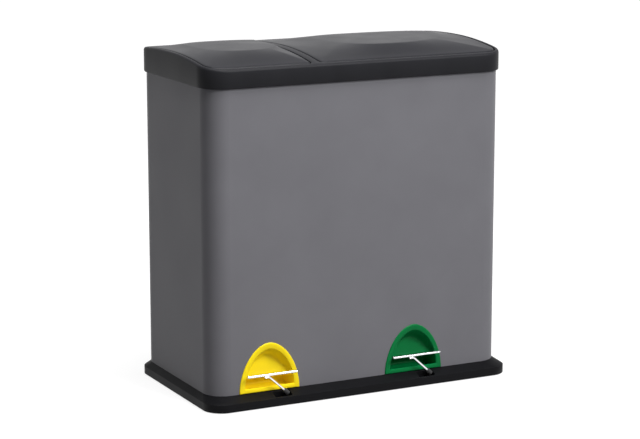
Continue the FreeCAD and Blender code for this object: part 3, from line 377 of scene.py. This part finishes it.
def combined(tree, operation, first, second):
    """Two outputs put together by an operation of the Math node."""
    node = tree.nodes.new("ShaderNodeMath")
    node.operation = operation
    tree.links.new(first, node.inputs[0])
    tree.links.new(second, node.inputs[1])
    return node.outputs["Value"]


def vector_value(tree, operation, vector, other=(0.0, 0.0, 0.0)):
    """A number made of a vector output, and of a fixed vector where the operation takes one."""
    node = tree.nodes.new("ShaderNodeVectorMath")
    node.operation = operation
    node.inputs[1].default_value = other
    tree.links.new(vector, node.inputs[0])
    return node.outputs["Value"]


def seen_directly(tree):
    """1 where the camera, a reflection or a refraction sees the surface itself."""
    path = tree.nodes.new("ShaderNodeLightPath")
    total = path.outputs["Is Camera Ray"]
    for name in ("Is Glossy Ray", "Is Transmission Ray"):
        total = combined(tree, "MAXIMUM", total, path.outputs[name])
    return total


# ---------------------------------------------------------------- materials

class Nodes:
    """A material's node tree with short calls for the nodes used here."""

    def __init__(self, name, roughness, metallic=0.0, level=0.5):
        self.material = bpy.data.materials.new(name)
        self.material.use_nodes = True
        self.tree = self.material.node_tree
        self.shader = self.tree.nodes["Principled BSDF"]
        self.shader.inputs["Roughness"].default_value = roughness
        self.shader.inputs["Metallic"].default_value = metallic
        self.shader.inputs["Specular IOR Level"].default_value = level
        self.place = self.tree.nodes.new("ShaderNodeTexCoord").outputs["Object"]

    def link(self, source, target):
        self.tree.links.new(source, target)

    def stretched(self, scale):
        """The object's own place, scaled along each axis."""
        node = self.tree.nodes.new("ShaderNodeMapping")
        node.inputs["Scale"].default_value = scale
        self.link(self.place, node.inputs["Vector"])
        return node.outputs["Vector"]

    def noise(self, size, detail=2.0, place=None):
        """Noise whose features are about size millimetres across."""
        node = self.tree.nodes.new("ShaderNodeTexNoise")
        node.inputs["Scale"].default_value = 1.0 / (size * MM)
        node.inputs["Detail"].default_value = detail
        self.link(place or self.place, node.inputs["Vector"])
        return node.outputs["Fac"]

    def cells(self, size):
        """Cells about size millimetres across."""
        node = self.tree.nodes.new("ShaderNodeTexVoronoi")
        node.inputs["Scale"].default_value = 1.0 / (size * MM)
        self.link(self.place, node.inputs["Vector"])
        return node.outputs["Color"]

    def ranged(self, value, low, high, spread=(0.3, 0.7)):
        """A value from the spread taken to between low and high."""
        return map_range(self.tree, value, spread, (low, high))

    def tint(self, factor, first, second):
        """A colour between two."""
        node = self.tree.nodes.new("ShaderNodeMix")
        node.data_type = "RGBA"
        node.inputs["A"].default_value = (*first, 1.0)
        node.inputs["B"].default_value = (*second, 1.0)
        self.link(factor, node.inputs["Factor"])
        return node.outputs["Result"]

    def sum(self, first, second, share):
        """first plus share times second."""
        node = self.tree.nodes.new("ShaderNodeMath")
        node.operation = "MULTIPLY_ADD"
        node.inputs[1].default_value = share
        self.link(second, node.inputs[0])
        self.link(first, node.inputs[2])
        return node.outputs["Value"]

    def color(self, output):
        self.link(output, self.shader.inputs["Base Color"])

    def rough(self, output):
        self.link(output, self.shader.inputs["Roughness"])

    def bump(self, height, depth):
        """Bumps of the height output, depth millimetres tall."""
        node = self.tree.nodes.new("ShaderNodeBump")
        node.inputs["Distance"].default_value = depth * MM
        self.link(height, node.inputs["Height"])
        self.link(node.outputs["Normal"], self.shader.inputs["Normal"])


def scaled(color, share):
    """A lighter or darker colour."""
    return tuple(value * share for value in color)


def powder_coat():
    """Satin grey powder coat: fine orange peel, faint mottling in tone and gloss."""
    nodes = Nodes("grey_powder_coat", 0.52, level=0.09)
    base = (0.154, 0.152, 0.166)
    cloud = nodes.noise(90.0, 3.0)
    grain = nodes.noise(0.9, 3.0)
    mottle = nodes.ranged(nodes.sum(cloud, grain, 0.35), 0.0, 1.0, (0.35, 0.95))
    nodes.color(nodes.tint(mottle, scaled(base, 0.95), scaled(base, 1.06)))
    nodes.rough(nodes.ranged(cloud, 0.38, 0.46))
    nodes.bump(nodes.sum(grain, nodes.noise(3.5), 0.5), 0.012)
    return nodes.material


def moulded_plastic(name, base, roughness, level, grain=0.6, depth=0.006):
    """Moulded plastic with a spark-eroded grain, grain millimetres across and depth millimetres
    deep, and faint flow marks."""
    nodes = Nodes(name, roughness, level=level)
    fine = nodes.noise(grain, 3.0)
    flow = nodes.noise(60.0, 2.0, nodes.stretched((1.0, 1.0, 0.35)))
    mix = nodes.sum(flow, fine, 0.4)
    spread = (0.4, 1.0)
    nodes.color(nodes.tint(nodes.ranged(mix, 0.0, 1.0, spread), scaled(base, 0.86),
                           scaled(base, 1.12)))
    nodes.rough(nodes.ranged(mix, roughness - 0.04, roughness + 0.05, spread))
    nodes.bump(fine, depth)
    return nodes.material


def rubber():
    """Matt rubber with a dusty bloom."""
    nodes = Nodes("black_rubber", 0.75)
    dust = nodes.noise(4.0, 4.0)
    nodes.color(nodes.tint(dust, (0.010, 0.010, 0.011), (0.030, 0.030, 0.031)))
    nodes.rough(nodes.ranged(dust, 0.68, 0.84))
    nodes.bump(nodes.noise(0.8, 3.0), 0.03)
    return nodes.material


def zinc():
    """Zinc-plated steel: soft spangle and fine scratches."""
    nodes = Nodes("zinc_plate", 0.36, 0.9)
    nodes.color(nodes.tint(nodes.noise(14.0, 3.0), (0.42, 0.43, 0.45), (0.62, 0.63, 0.64)))
    nodes.rough(nodes.ranged(nodes.cells(2.2), 0.28, 0.44, (0.0, 1.0)))
    nodes.bump(nodes.noise(0.5, 2.0), 0.008)
    return nodes.material


def chrome():
    """Bright plated wire: drawn lines along it and faint water marks."""
    nodes = Nodes("bright_chrome", 0.10, 1.0)
    lines = nodes.noise(1.0, 2.0, nodes.stretched((0.08, 1.0, 1.0)))
    marks = nodes.noise(7.0, 3.0)
    nodes.color(nodes.tint(marks, (0.74, 0.74, 0.76), (0.88, 0.88, 0.89)))
    nodes.rough(nodes.ranged(marks, 0.08, 0.16))
    nodes.bump(lines, 0.0004)
    return nodes.material


# One material for each slot, and the plinth's own, which is duller than the lid frame's.
MATERIALS = {
    "grey_steel": powder_coat(),
    "black_plastic": moulded_plastic("black_frame_plastic", (0.017, 0.017, 0.0195), 0.40, 0.06,
                                     0.7, 0.015),
    "lid_plastic": moulded_plastic("black_lid_plastic", (0.013, 0.013, 0.0160), 0.36, 0.14,
                                   0.7, 0.015),
    "bucket_plastic": moulded_plastic("black_bucket_plastic", (0.024, 0.025, 0.027), 0.52, 0.5,
                                      1.4, 0.03),
    "yellow_plastic": moulded_plastic("yellow_plastic", (0.97, 0.74, 0.010), 0.36, 0.15),
    "green_plastic": moulded_plastic("green_plastic", (0.0, 0.145, 0.036), 0.36, 0.10),
    "rubber": rubber(),
    "zinc_steel": zinc(),
    "plinth": moulded_plastic("black_plinth_plastic", (0.0045, 0.0045, 0.0055), 0.5, 0.08,
                              0.9, 0.02),
    "chrome_wire": chrome(),
}


def soften(node, width):
    """Rounds a frame node's sharp edges, width in millimetres, by modifiers alone."""
    weld = node.modifiers.new("weld", "WELD")
    weld.merge_threshold = WELD_DISTANCE
    bevel = node.modifiers.new("round", "BEVEL")
    bevel.width = width * MM
    bevel.segments = 3
    bevel.limit_method = "ANGLE"
    bevel.angle_limit = math.radians(28)
    bevel.harden_normals = True


def dress_frame():
    """Gives every node of the frame the material of its slot."""
    slots = {part["node"]: part["material_slot"] for part in frame["record"]["subparts"]}
    for name, node in frame["nodes"].items():
        material = MATERIALS["plinth" if name == "base_plinth" else slots[name]]
        if not node.material_slots:
            node.data.materials.append(material)
        for place in node.material_slots:
            place.material = material
    soften(frame["nodes"]["base_plinth"], 1.8)


# ---------------------------------------------------------------- lid frame

def rim_height(y):
    """Height of the rim's arched top at a depth."""
    radius = ARCH_FRONT_RADIUS if y < ARCH_Y else ARCH_REAR_RADIUS
    return ARCH_TOP - radius + math.sqrt(radius ** 2 - (y - ARCH_Y) ** 2)


def at_rim(outline, drop):
    """An outline as a ring of corners that follow the rim's arch, some way below it."""
    return [(x, y, rim_height(y) - drop) for x, y in outline]


def frame_outline(inset):
    """The frame's outline, moved inwards."""
    grown = OVERHANG - inset
    radius = BODY_CORNER + grown
    return rounded_outline(-SIDE - grown, SIDE + grown, SHELL_LOW.y - grown, SHELL_HIGH.y + grown,
                           (radius,) * 4, FRAME_COUNTS)


def pocket_outline(side, grow):
    """A lid's pocket in the frame, grown outwards."""
    left, right = SIDES[side]["pocket"]
    radii = [radius + grow for radius in
             (*SIDES[side]["corners"], POCKET_BACK_CORNER, POCKET_BACK_CORNER)]
    return rounded_outline(left - grow, right + grow, POCKET_FRONT - grow, POCKET_BACK + grow,
                           radii)


def waste_outline(side):
    """The hole that the waste drops through, with a notch at the back for the rod and its lug."""
    rod_low, rod_high = node_box("lift_rod_" + side)
    rod_x, rod_y = rod_low.x + ROD_RADIUS, (rod_low.y + rod_high.y) / 2
    left, right = SIDES[side]["pocket"]
    back = rod_y - ROD_ROOM
    outline = rounded_outline(left + WASTE_LEDGE, right - WASTE_LEDGE, POCKET_FRONT + WASTE_LEDGE,
                              back, (WASTE_CORNER,) * 4)
    start, end = rod_x + NOTCH_WIDTH[1], rod_x - NOTCH_WIDTH[0]
    deep = back + NOTCH_DEPTH
    notch = [(start, back), (start, deep), (end, deep), (end, back)]
    rear = [index for index, (_, y) in enumerate(outline) if abs(y - back) < 0.01]
    first = next(index for index in rear if outline[index][0] < start)
    after = next(index for index in rear if outline[index][0] < end)
    return outline[:first] + notch + outline[after:]


def lid_frame():
    """The moulded frame: arched rim, divider, and a sunk seat under each lid."""
    shape = Shape()
    bottom = RIM_LOW.z
    inner = frame_outline(OVERHANG - RIM_SLIP)
    ease = RIM_BEVEL * RIM_BEVEL_EASE
    outer = [at_level(inner, SEAT_UNDER),
             at_level(inner, bottom),
             at_level(frame_outline(RIM_BEVEL), bottom),
             at_level(frame_outline(ease), bottom + ease),
             at_level(frame_outline(0.0), bottom + RIM_BEVEL)]
    outer += [at_rim(frame_outline(inset), drop) for inset, drop in edge_round(RIM_ROUND)]
    rings = shape.stack(outer)
    pockets, holes = [], []
    for side in SIDES:
        wall = [at_level(pocket_outline(side, 0.0), SEAT)]
        wall += [at_rim(pocket_outline(side, inset), drop)
                 for inset, drop in edge_round(POCKET_ROUND)]
        pocket = shape.stack(wall)
        waste = waste_outline(side)
        hole = shape.stack([at_level(waste, SEAT), at_level(waste, SEAT_UNDER)])
        shape.fill(pocket[0], [hole[0]])
        pockets.append(pocket[-1])
        holes.append(hole[1])
    shape.fill(rings[-1], pockets)
    shape.fill(rings[0], holes)
    add_piece("lid_frame_moulding", shape, MATERIALS["black_plastic"], "root",
              ("lid_frame",))


# ---------------------------------------------------------------- lids

def crest_extent(side, dx, dy):
    """How many times (dx, dy) reaches from the middle of a lid's crest to the crest's edge."""
    crest = SIDES[side]["crest"]
    reach_x = crest["left"] if dx < 0 else crest["right"]
    reach_y = crest["front"] if dy < 0 else (HINGE.y - CREST_Y) * CREST_BACK
    power = CREST_POWERS[0] if dx < 0 else CREST_POWERS[1]
    return (abs(dx / reach_x) ** power + abs(dy / reach_y) ** power) ** (-1 / power)


def lid_extent(side, dx, dy):
    """How many times (dx, dy) reaches from the middle of a lid's crest to the lid's edge."""
    left, right = SIDES[side]["pocket"]
    runs = []
    if abs(dx) > TINY:
        runs.append(((left if dx < 0 else right) - SIDES[side]["crest"]["x"]) / dx)
    if abs(dy) > TINY:
        runs.append(((POCKET_FRONT if dy < 0 else HINGE.y) - CREST_Y) / dy)
    return min(runs)


def crest_height(side, x, y):
    """Height of a lid's upper surface: a low crescent crest that falls away to the rim's arch."""
    dx, dy = x - SIDES[side]["crest"]["x"], y - CREST_Y
    if max(abs(dx), abs(dy)) <= TINY:
        return CREST_TOP
    edge = lid_extent(side, dx, dy)
    crest_end = min(crest_extent(side, dx, dy), CREST_LIMIT * edge)
    dome = CREST_TOP - CREST_DOME * min(1.0, 1 / crest_end) ** 2
    if crest_end >= 1.0:
        return dome
    base = rim_height(y)
    beyond = min(1.0, (1.0 - crest_end) / (edge - crest_end))
    return base + (dome - base) * (1 - beyond) ** 2


def crease_points(side):
    """Places just inside and just outside the edge of a lid's crest."""
    points = []
    for step in range(CREASE_STEPS):
        turn = math.tau * step / CREASE_STEPS
        dx, dy = math.cos(turn), math.sin(turn)
        reach = min(crest_extent(side, dx, dy), CREST_LIMIT * lid_extent(side, dx, dy))
        points += [(SIDES[side]["crest"]["x"] + dx * reach * share, CREST_Y + dy * reach * share)
                   for share in CREASE_SHARES]
    return points


def lid_outline(side, inset):
    """A lid's outline in its pocket, moved inwards, and straight at the back over the hinge."""
    left, right = SIDES[side]["pocket"]
    gap = LID_GAP + inset
    radii = [radius - gap for radius in SIDES[side]["corners"]] + [LID_BACK_CORNER] * 2
    return rounded_outline(left + gap, right - gap, POCKET_FRONT + gap,
                           HINGE.y - inset * LID_BACK_SHARE, radii)


def lid_skirt(side, inset):
    """The lower edge of a lid's skirt, which stops above the pins along the rolled back edge."""
    return [(x, y, ROLL_INSIDE if y > HINGE.y - ROLL_STRIP else SKIRT_BOTTOM)
            for x, y in lid_outline(side, inset)]


def lid_grid(side, inset):
    """Points over a lid, clear of its outline, with those along the edge of its crest."""
    left, right = SIDES[side]["pocket"]
    outline = lid_outline(side, inset + LID_GRID_MARGIN)
    columns = int((right - left) / LID_GRID)
    rows = int((HINGE.y - POCKET_FRONT) / LID_GRID)
    points = [(left + LID_GRID * (column + 0.5), POCKET_FRONT + LID_GRID * (row + 0.5))
              for column in range(columns) for row in range(rows)]
    return [point for point in points + crease_points(side) if inside(point, outline)]


def lid_shell(shape, side):
    """A lid's roof, rounded edge and skirt, inside and outside."""

    def lowered(inset, drop):
        return [(x, y, crest_height(side, x, y) - drop) for x, y in lid_outline(side, inset)]

    rings = [lowered(LID_WALL, LID_ROOF), lid_skirt(side, LID_WALL), lid_skirt(side, 0.0)]
    rings += [lowered(inset, drop) for inset, drop in edge_round(LID_EDGE_ROUND)]
    numbers = shape.stack(rings)
    shape.fill(numbers[-1], extra=lid_grid(side, LID_EDGE_ROUND),
               height=lambda x, y: crest_height(side, x, y))
    shape.fill(numbers[0], extra=lid_grid(side, LID_WALL),
               height=lambda x, y: crest_height(side, x, y) - LID_ROOF)


def lid_roll(shape, side):
    """The rolled back edge, bored for the hinge pins."""
    left, right = SIDES[side]["pocket"]
    start, end = left + LID_GAP, right - LID_GAP
    ease = ROLL_CHAMFER / (end - start)
    narrow = ROLL_RADIUS - ROLL_CHAMFER
    profile = [(1.0, PIN_BORE), (1.0, narrow), (1 - ease, ROLL_RADIUS), (ease, ROLL_RADIUS),
               (0.0, narrow), (0.0, PIN_BORE)]
    rings = shape.turned(profile, (start, HINGE.y, HINGE.z), (end, HINGE.y, HINGE.z), (0, 1, 0))
    shape.bridge(rings[-1], rings[0])


def slot_outline(near, far, radius):
    """A round-ended slot along the lug's direction, in Y and Z."""
    angle = 180.0 + LUG_ANGLE
    way = (math.cos(math.radians(angle)), math.sin(math.radians(angle)))
    places = [(HINGE.y + way[0] * reach, HINGE.z + way[1] * reach) for reach in (near, far)]
    return (arc(places[1], radius, angle - 90, angle + 90, 10)
            + arc(places[0], radius, angle + 90, angle + 270, 10))


def lid_lug(shape, side):
    """The lug under the roll, a flat plate with a slot for the rod's hook."""
    arm_low, arm_high = node_box("lever_arm_" + side)
    outlines = (slot_outline(*LUG_BODY), slot_outline(*LUG_SLOT))
    flat = Shape()
    rings = [flat.loop(at_level(outline, 0.0)) for outline in outlines]
    flat.fill(rings[0], [rings[1]])
    for x in (arm_low.x, arm_high.x):
        shape.join(flat.faces, [(x, y, z) for y, z, _ in flat.corners])
    for outline in outlines:
        shape.stack([[(x, y, z) for y, z in outline] for x in (arm_low.x, arm_high.x)])


def lid(side):
    """A lid: a crested shell with a rounded edge, a rolled back edge on its pins, and a lug."""
    shape = Shape()
    lid_shell(shape, side)
    lid_roll(shape, side)
    lid_lug(shape, side)
    add_piece("lid_%s_moulding" % side, shape, MATERIALS["lid_plastic"], "lid_" + side,
              ("lid_" + side,), crease=40.0)


# ---------------------------------------------------------------- pedal recesses

def recess_middle(side):
    """X of the middle of a recess."""
    low, high = node_box("pedal_recess_" + side)
    return (low.x + high.x) / 2


def recess_ring(centre_x, inset, sill, depth):
    """A ring of a recess: an arched outline inset from the flange's, at a depth behind its face."""
    half = RECESS_HALF - inset
    low = BODY_FOOT + RECESS_LIFT + sill
    high = RECESS_HEIGHT - sill - inset
    y = FRONT - RECESS_PROUD + depth
    ring = []
    for step in range(RECESS_STEPS + 1):
        turn = math.pi * step / RECESS_STEPS
        across = math.copysign(abs(math.cos(turn)) ** (2 / RECESS_POWER), math.cos(turn))
        up = math.sin(turn) ** (2 / RECESS_POWER)
        ring.append((centre_x + half * across, y, low + high * up))
    return ring + [(x, y, low) for x, in between(ring[-1][:1], ring[0][:1], RECESS_BASE_COUNT)]


def cavity_depth(x, z):
    """Depth of the cavity behind its rim, at a place measured from the middle of the sill: the
    bowl and its sloping shelf above the lip, the toe pocket below it."""
    reach = (abs(x / CAVITY_HALF) ** RECESS_POWER + (max(z, 0.0) / CAVITY_HEIGHT) ** RECESS_POWER
             ) ** (1 / RECESS_POWER)
    edge = max(0.0, 1.0 - reach)
    bowl = BOWL_DEPTH * (1 - (1 - min(1.0, edge / BOWL_EDGE)) ** BOWL_POWER)
    rise = min(1.0, max(0.0, (z - POCKET_LIP) / SHELF_HEIGHT))
    shelf = SHELF_START + SHELF_FALL * rise ** SHELF_POWER
    upper = shelf + (bowl - shelf) * BOWL_BLEND if bowl > shelf else bowl
    side = max(0.0, min(1.0, (CAVITY_HALF - abs(x)) / POCKET_SIDE_ROUND))
    lower = TUB_DEPTH * (1 - (1 - side) ** 3) * min(1.0, z / POCKET_SILL_ROUND) ** 0.5
    blend = min(1.0, max(0.0, (z - POCKET_LIP + POCKET_LIP_ROUND) / POCKET_LIP_ROUND))
    return lower + (upper - lower) * blend * blend * (3 - 2 * blend)


def cavity_grid(centre_x, sill_z, outline):
    """Points in X and Z over the cavity, clear of its rim."""
    columns = int(2 * CAVITY_HALF / CAVITY_GRID) + 2
    rows = int(CAVITY_HEIGHT / CAVITY_GRID) + 2
    points = []
    for column in range(columns):
        for row in range(rows):
            x = CAVITY_GRID * column - CAVITY_HALF
            z = CAVITY_GRID * row + CAVITY_GRID_START
            point = (centre_x + x, sill_z + z)
            grown = (centre_x + x * CAVITY_GRID_MARGIN, sill_z + z * CAVITY_GRID_MARGIN)
            if inside(point, outline) and inside(grown, outline):
                points.append(point)
    return points


def cavity(shape, centre_x, rim):
    """The bowl and the toe pocket behind a rim, whose last corner is on the sill."""
    _, rim_y, sill_z = rim[-1]
    flat = Shape()
    inner = flat.loop([(x, z, y) for x, y, z in rim])
    flat.fill(inner, extra=cavity_grid(centre_x, sill_z, [(x, z) for x, _, z in rim]),
              height=lambda x, z: rim_y + cavity_depth(x - centre_x, z - sill_z))
    corners = []
    for x, z, y in flat.corners:
        share = max(0.0, 1.0 - (z - sill_z) / POCKET_LIP) * min(1.0, (y - rim_y) / POCKET_FALL)
        corners.append((x, y, z - POCKET_DROP * share))
    shape.join(flat.faces, corners)


def recess(side, material):
    """A moulded pedal recess: a bevelled flange round a bowl with a deeper toe pocket below it."""
    centre_x = recess_middle(side)
    shape = Shape()
    rings = [recess_ring(centre_x, *ring) for ring in FLANGE_PROFILE]
    numbers = shape.stack(rings)
    cavity(shape, centre_x, rings[-1])
    tub = recess_ring(centre_x, TUB_INSET, 0.0, 0.0)
    collar, back = shape.stack([[(x, y, z) for x, _, z in tub]
                                for y in (FRONT, FRONT + TUB_DEPTH + TUB_WALL)])
    shape.bridge(numbers[0], collar)
    shape.faces.append(tuple(back))
    add_piece("pedal_recess_%s_moulding" % side, shape, MATERIALS[material], "root",
              ("pedal_recess_" + side,), crease=48.0)


# ---------------------------------------------------------------- pedal sleeves

def sleeve(side):
    """A rubber sleeve over the foot of a pedal's wire, rounded at both ends."""
    low, high = node_box("pedal_sleeve_" + side)
    centre_x, y = recess_middle(side), (low.y + high.y) / 2
    top, foot = (Vector((centre_x + x, y, z)) for x, z in (WIRE_TOP, WIRE_FOOT))
    way = (top - foot).normalized()
    profile = [(0.0, 0.05), (0.0, SLEEVE_RADIUS - 1.6), (0.03, SLEEVE_RADIUS - 0.7),
               (0.10, SLEEVE_RADIUS), (0.80, SLEEVE_RADIUS), (0.94, SLEEVE_RADIUS - 0.5),
               (1.0, SLEEVE_RADIUS - 1.4), (1.0, 2.3)]
    shape = Shape()
    rings = shape.turned(profile, foot - way * SLEEVE_BELOW, foot + way * SLEEVE_ABOVE)
    shape.faces.append(tuple(rings[0]))
    shape.faces.append(tuple(reversed(rings[-1])))
    add_piece("pedal_sleeve_%s_rubber" % side, shape, MATERIALS["rubber"], "pedal_" + side,
              ("pedal_sleeve_" + side,))


# ---------------------------------------------------------------- camera and studio

def camera():
    """The photograph's viewpoint: in front, to the left of the bin, and a little above it."""
    yaw = 26.92
    pitch = 11.455
    view = bpy.data.cameras.new("view")
    view.lens = 118.86
    view.sensor_width = 36.0
    holder = put("view", view)
    holder.location = (-1.6989, -3.3305, 1.0433)
    holder.rotation_euler = (math.radians(90 - pitch), 0, math.radians(-yaw))
    bpy.context.scene.camera = holder


def lamp(name, place, target, width, height, power):
    """A rectangular lamp that faces a target, in metres and watts."""
    light = bpy.data.lights.new(name, "AREA")
    light.shape = "RECTANGLE"
    light.size = width
    light.size_y = height
    light.energy = power
    holder = put(name, light)
    holder.location = place
    holder.rotation_euler = (Vector(target) - Vector(place)).to_track_quat("-Z", "Y").to_euler()


def white_world(ambient, rear, overhead):
    """A surround that is white at eye level and dimmer overhead. As a light it is softer, and
    stronger from the back right."""
    world = bpy.data.worlds.new("studio")
    bpy.context.scene.world = world
    world.use_nodes = True
    tree = world.node_tree
    background = tree.nodes["Background"]
    background.inputs["Color"].default_value = (1.0, 1.0, 1.0, 1.0)
    direction = tree.nodes.new("ShaderNodeTexCoord").outputs["Generated"]
    parts = tree.nodes.new("ShaderNodeSeparateXYZ")
    tree.links.new(direction, parts.inputs["Vector"])
    falloff = map_range(tree, parts.outputs["Z"], (0.22, 0.62), (1.0, overhead), smooth=True)
    rearward = vector_value(tree, "DOT_PRODUCT", direction, (0.5, 0.866, 0.0))
    fill = map_range(tree, rearward, (0.1, 0.8), (ambient, rear))
    share = map_range(tree, seen_directly(tree), (0.0, 1.0), (fill, 1.0))
    tree.links.new(combined(tree, "MULTIPLY", falloff, share), background.inputs["Strength"])


def floor_material(name, seen):
    """Matt white; where seen, the light of a white backdrop is added for the eye alone, weaker near the bin as a
    painted shade round it.
    """
    material = bpy.data.materials.new(name)
    material.use_nodes = True
    tree = material.node_tree
    shader = tree.nodes["Principled BSDF"]
    shader.inputs["Base Color"].default_value = (0.24, 0.24, 0.24, 1.0)
    shader.inputs["Roughness"].default_value = 0.9
    shader.inputs["Specular IOR Level"].default_value = 0.0
    if seen:
        shader.inputs["Emission Color"].default_value = (1.0, 1.0, 1.0, 1.0)
        place = tree.nodes.new("ShaderNodeTexCoord").outputs["Object"]
        # painted shade: the glow is 0.84 within half a metre of the bin, rising to 0.98 beyond one and a half
        painted_shade_near_bin = map_range(tree, vector_value(tree, "LENGTH", place), (0.5, 1.5), (0.84, 0.98))
        lift = combined(tree, "MULTIPLY", seen_directly(tree), painted_shade_near_bin)
        tree.links.new(lift, shader.inputs["Emission Strength"])
    return material


def pale_floor():
    """A wide white floor whose glow is weaker near the bin, a painted shade that lightens into the surround, plain
    and dark where the bin stands.
    """
    half = 20000.0
    inset = 6.0
    corner = 30.0
    stand_x, stand_y = PLINTH_HIGH.x - inset, PLINTH_HIGH.y - inset
    stand = rounded_outline(-stand_x, stand_x, -stand_y, stand_y, (corner,) * 4, (1, 1))
    shape = Shape()
    outer = shape.loop([(-half, -half, 0), (half, -half, 0), (half, half, 0), (-half, half, 0)])
    below = shape.loop(at_level(stand, 0.0))
    shape.fill(outer, [below])
    shape.faces.append(tuple(below))
    mesh = shape.mesh("floor")
    mesh.materials.append(floor_material("floor", True))
    mesh.materials.append(floor_material("floor_below", False))
    mesh.polygons[len(shape.faces) - 1].material_index = 1
    floor = put("floor", mesh)


def studio():
    """World, floor and lamps."""
    white_world(ambient=0.19, rear=1.0, overhead=0.22)
    pale_floor()
    lamp("key", (1.5, -3.6, 3.6), (0.0, 0.0, 0.35), 2.1, 2.0, 240.0)
    lamp("overhead", (-0.05, -0.35, 2.5), (0.0, 0.0, 0.6), 1.4, 1.2, 72.0)
    bpy.context.scene.view_settings.view_transform = "Standard"


dress_frame()
lid_frame()
for side_name in SIDES:
    lid(side_name)
    sleeve(side_name)
recess("left", "yellow_plastic")
recess("right", "green_plastic")
camera()
studio()
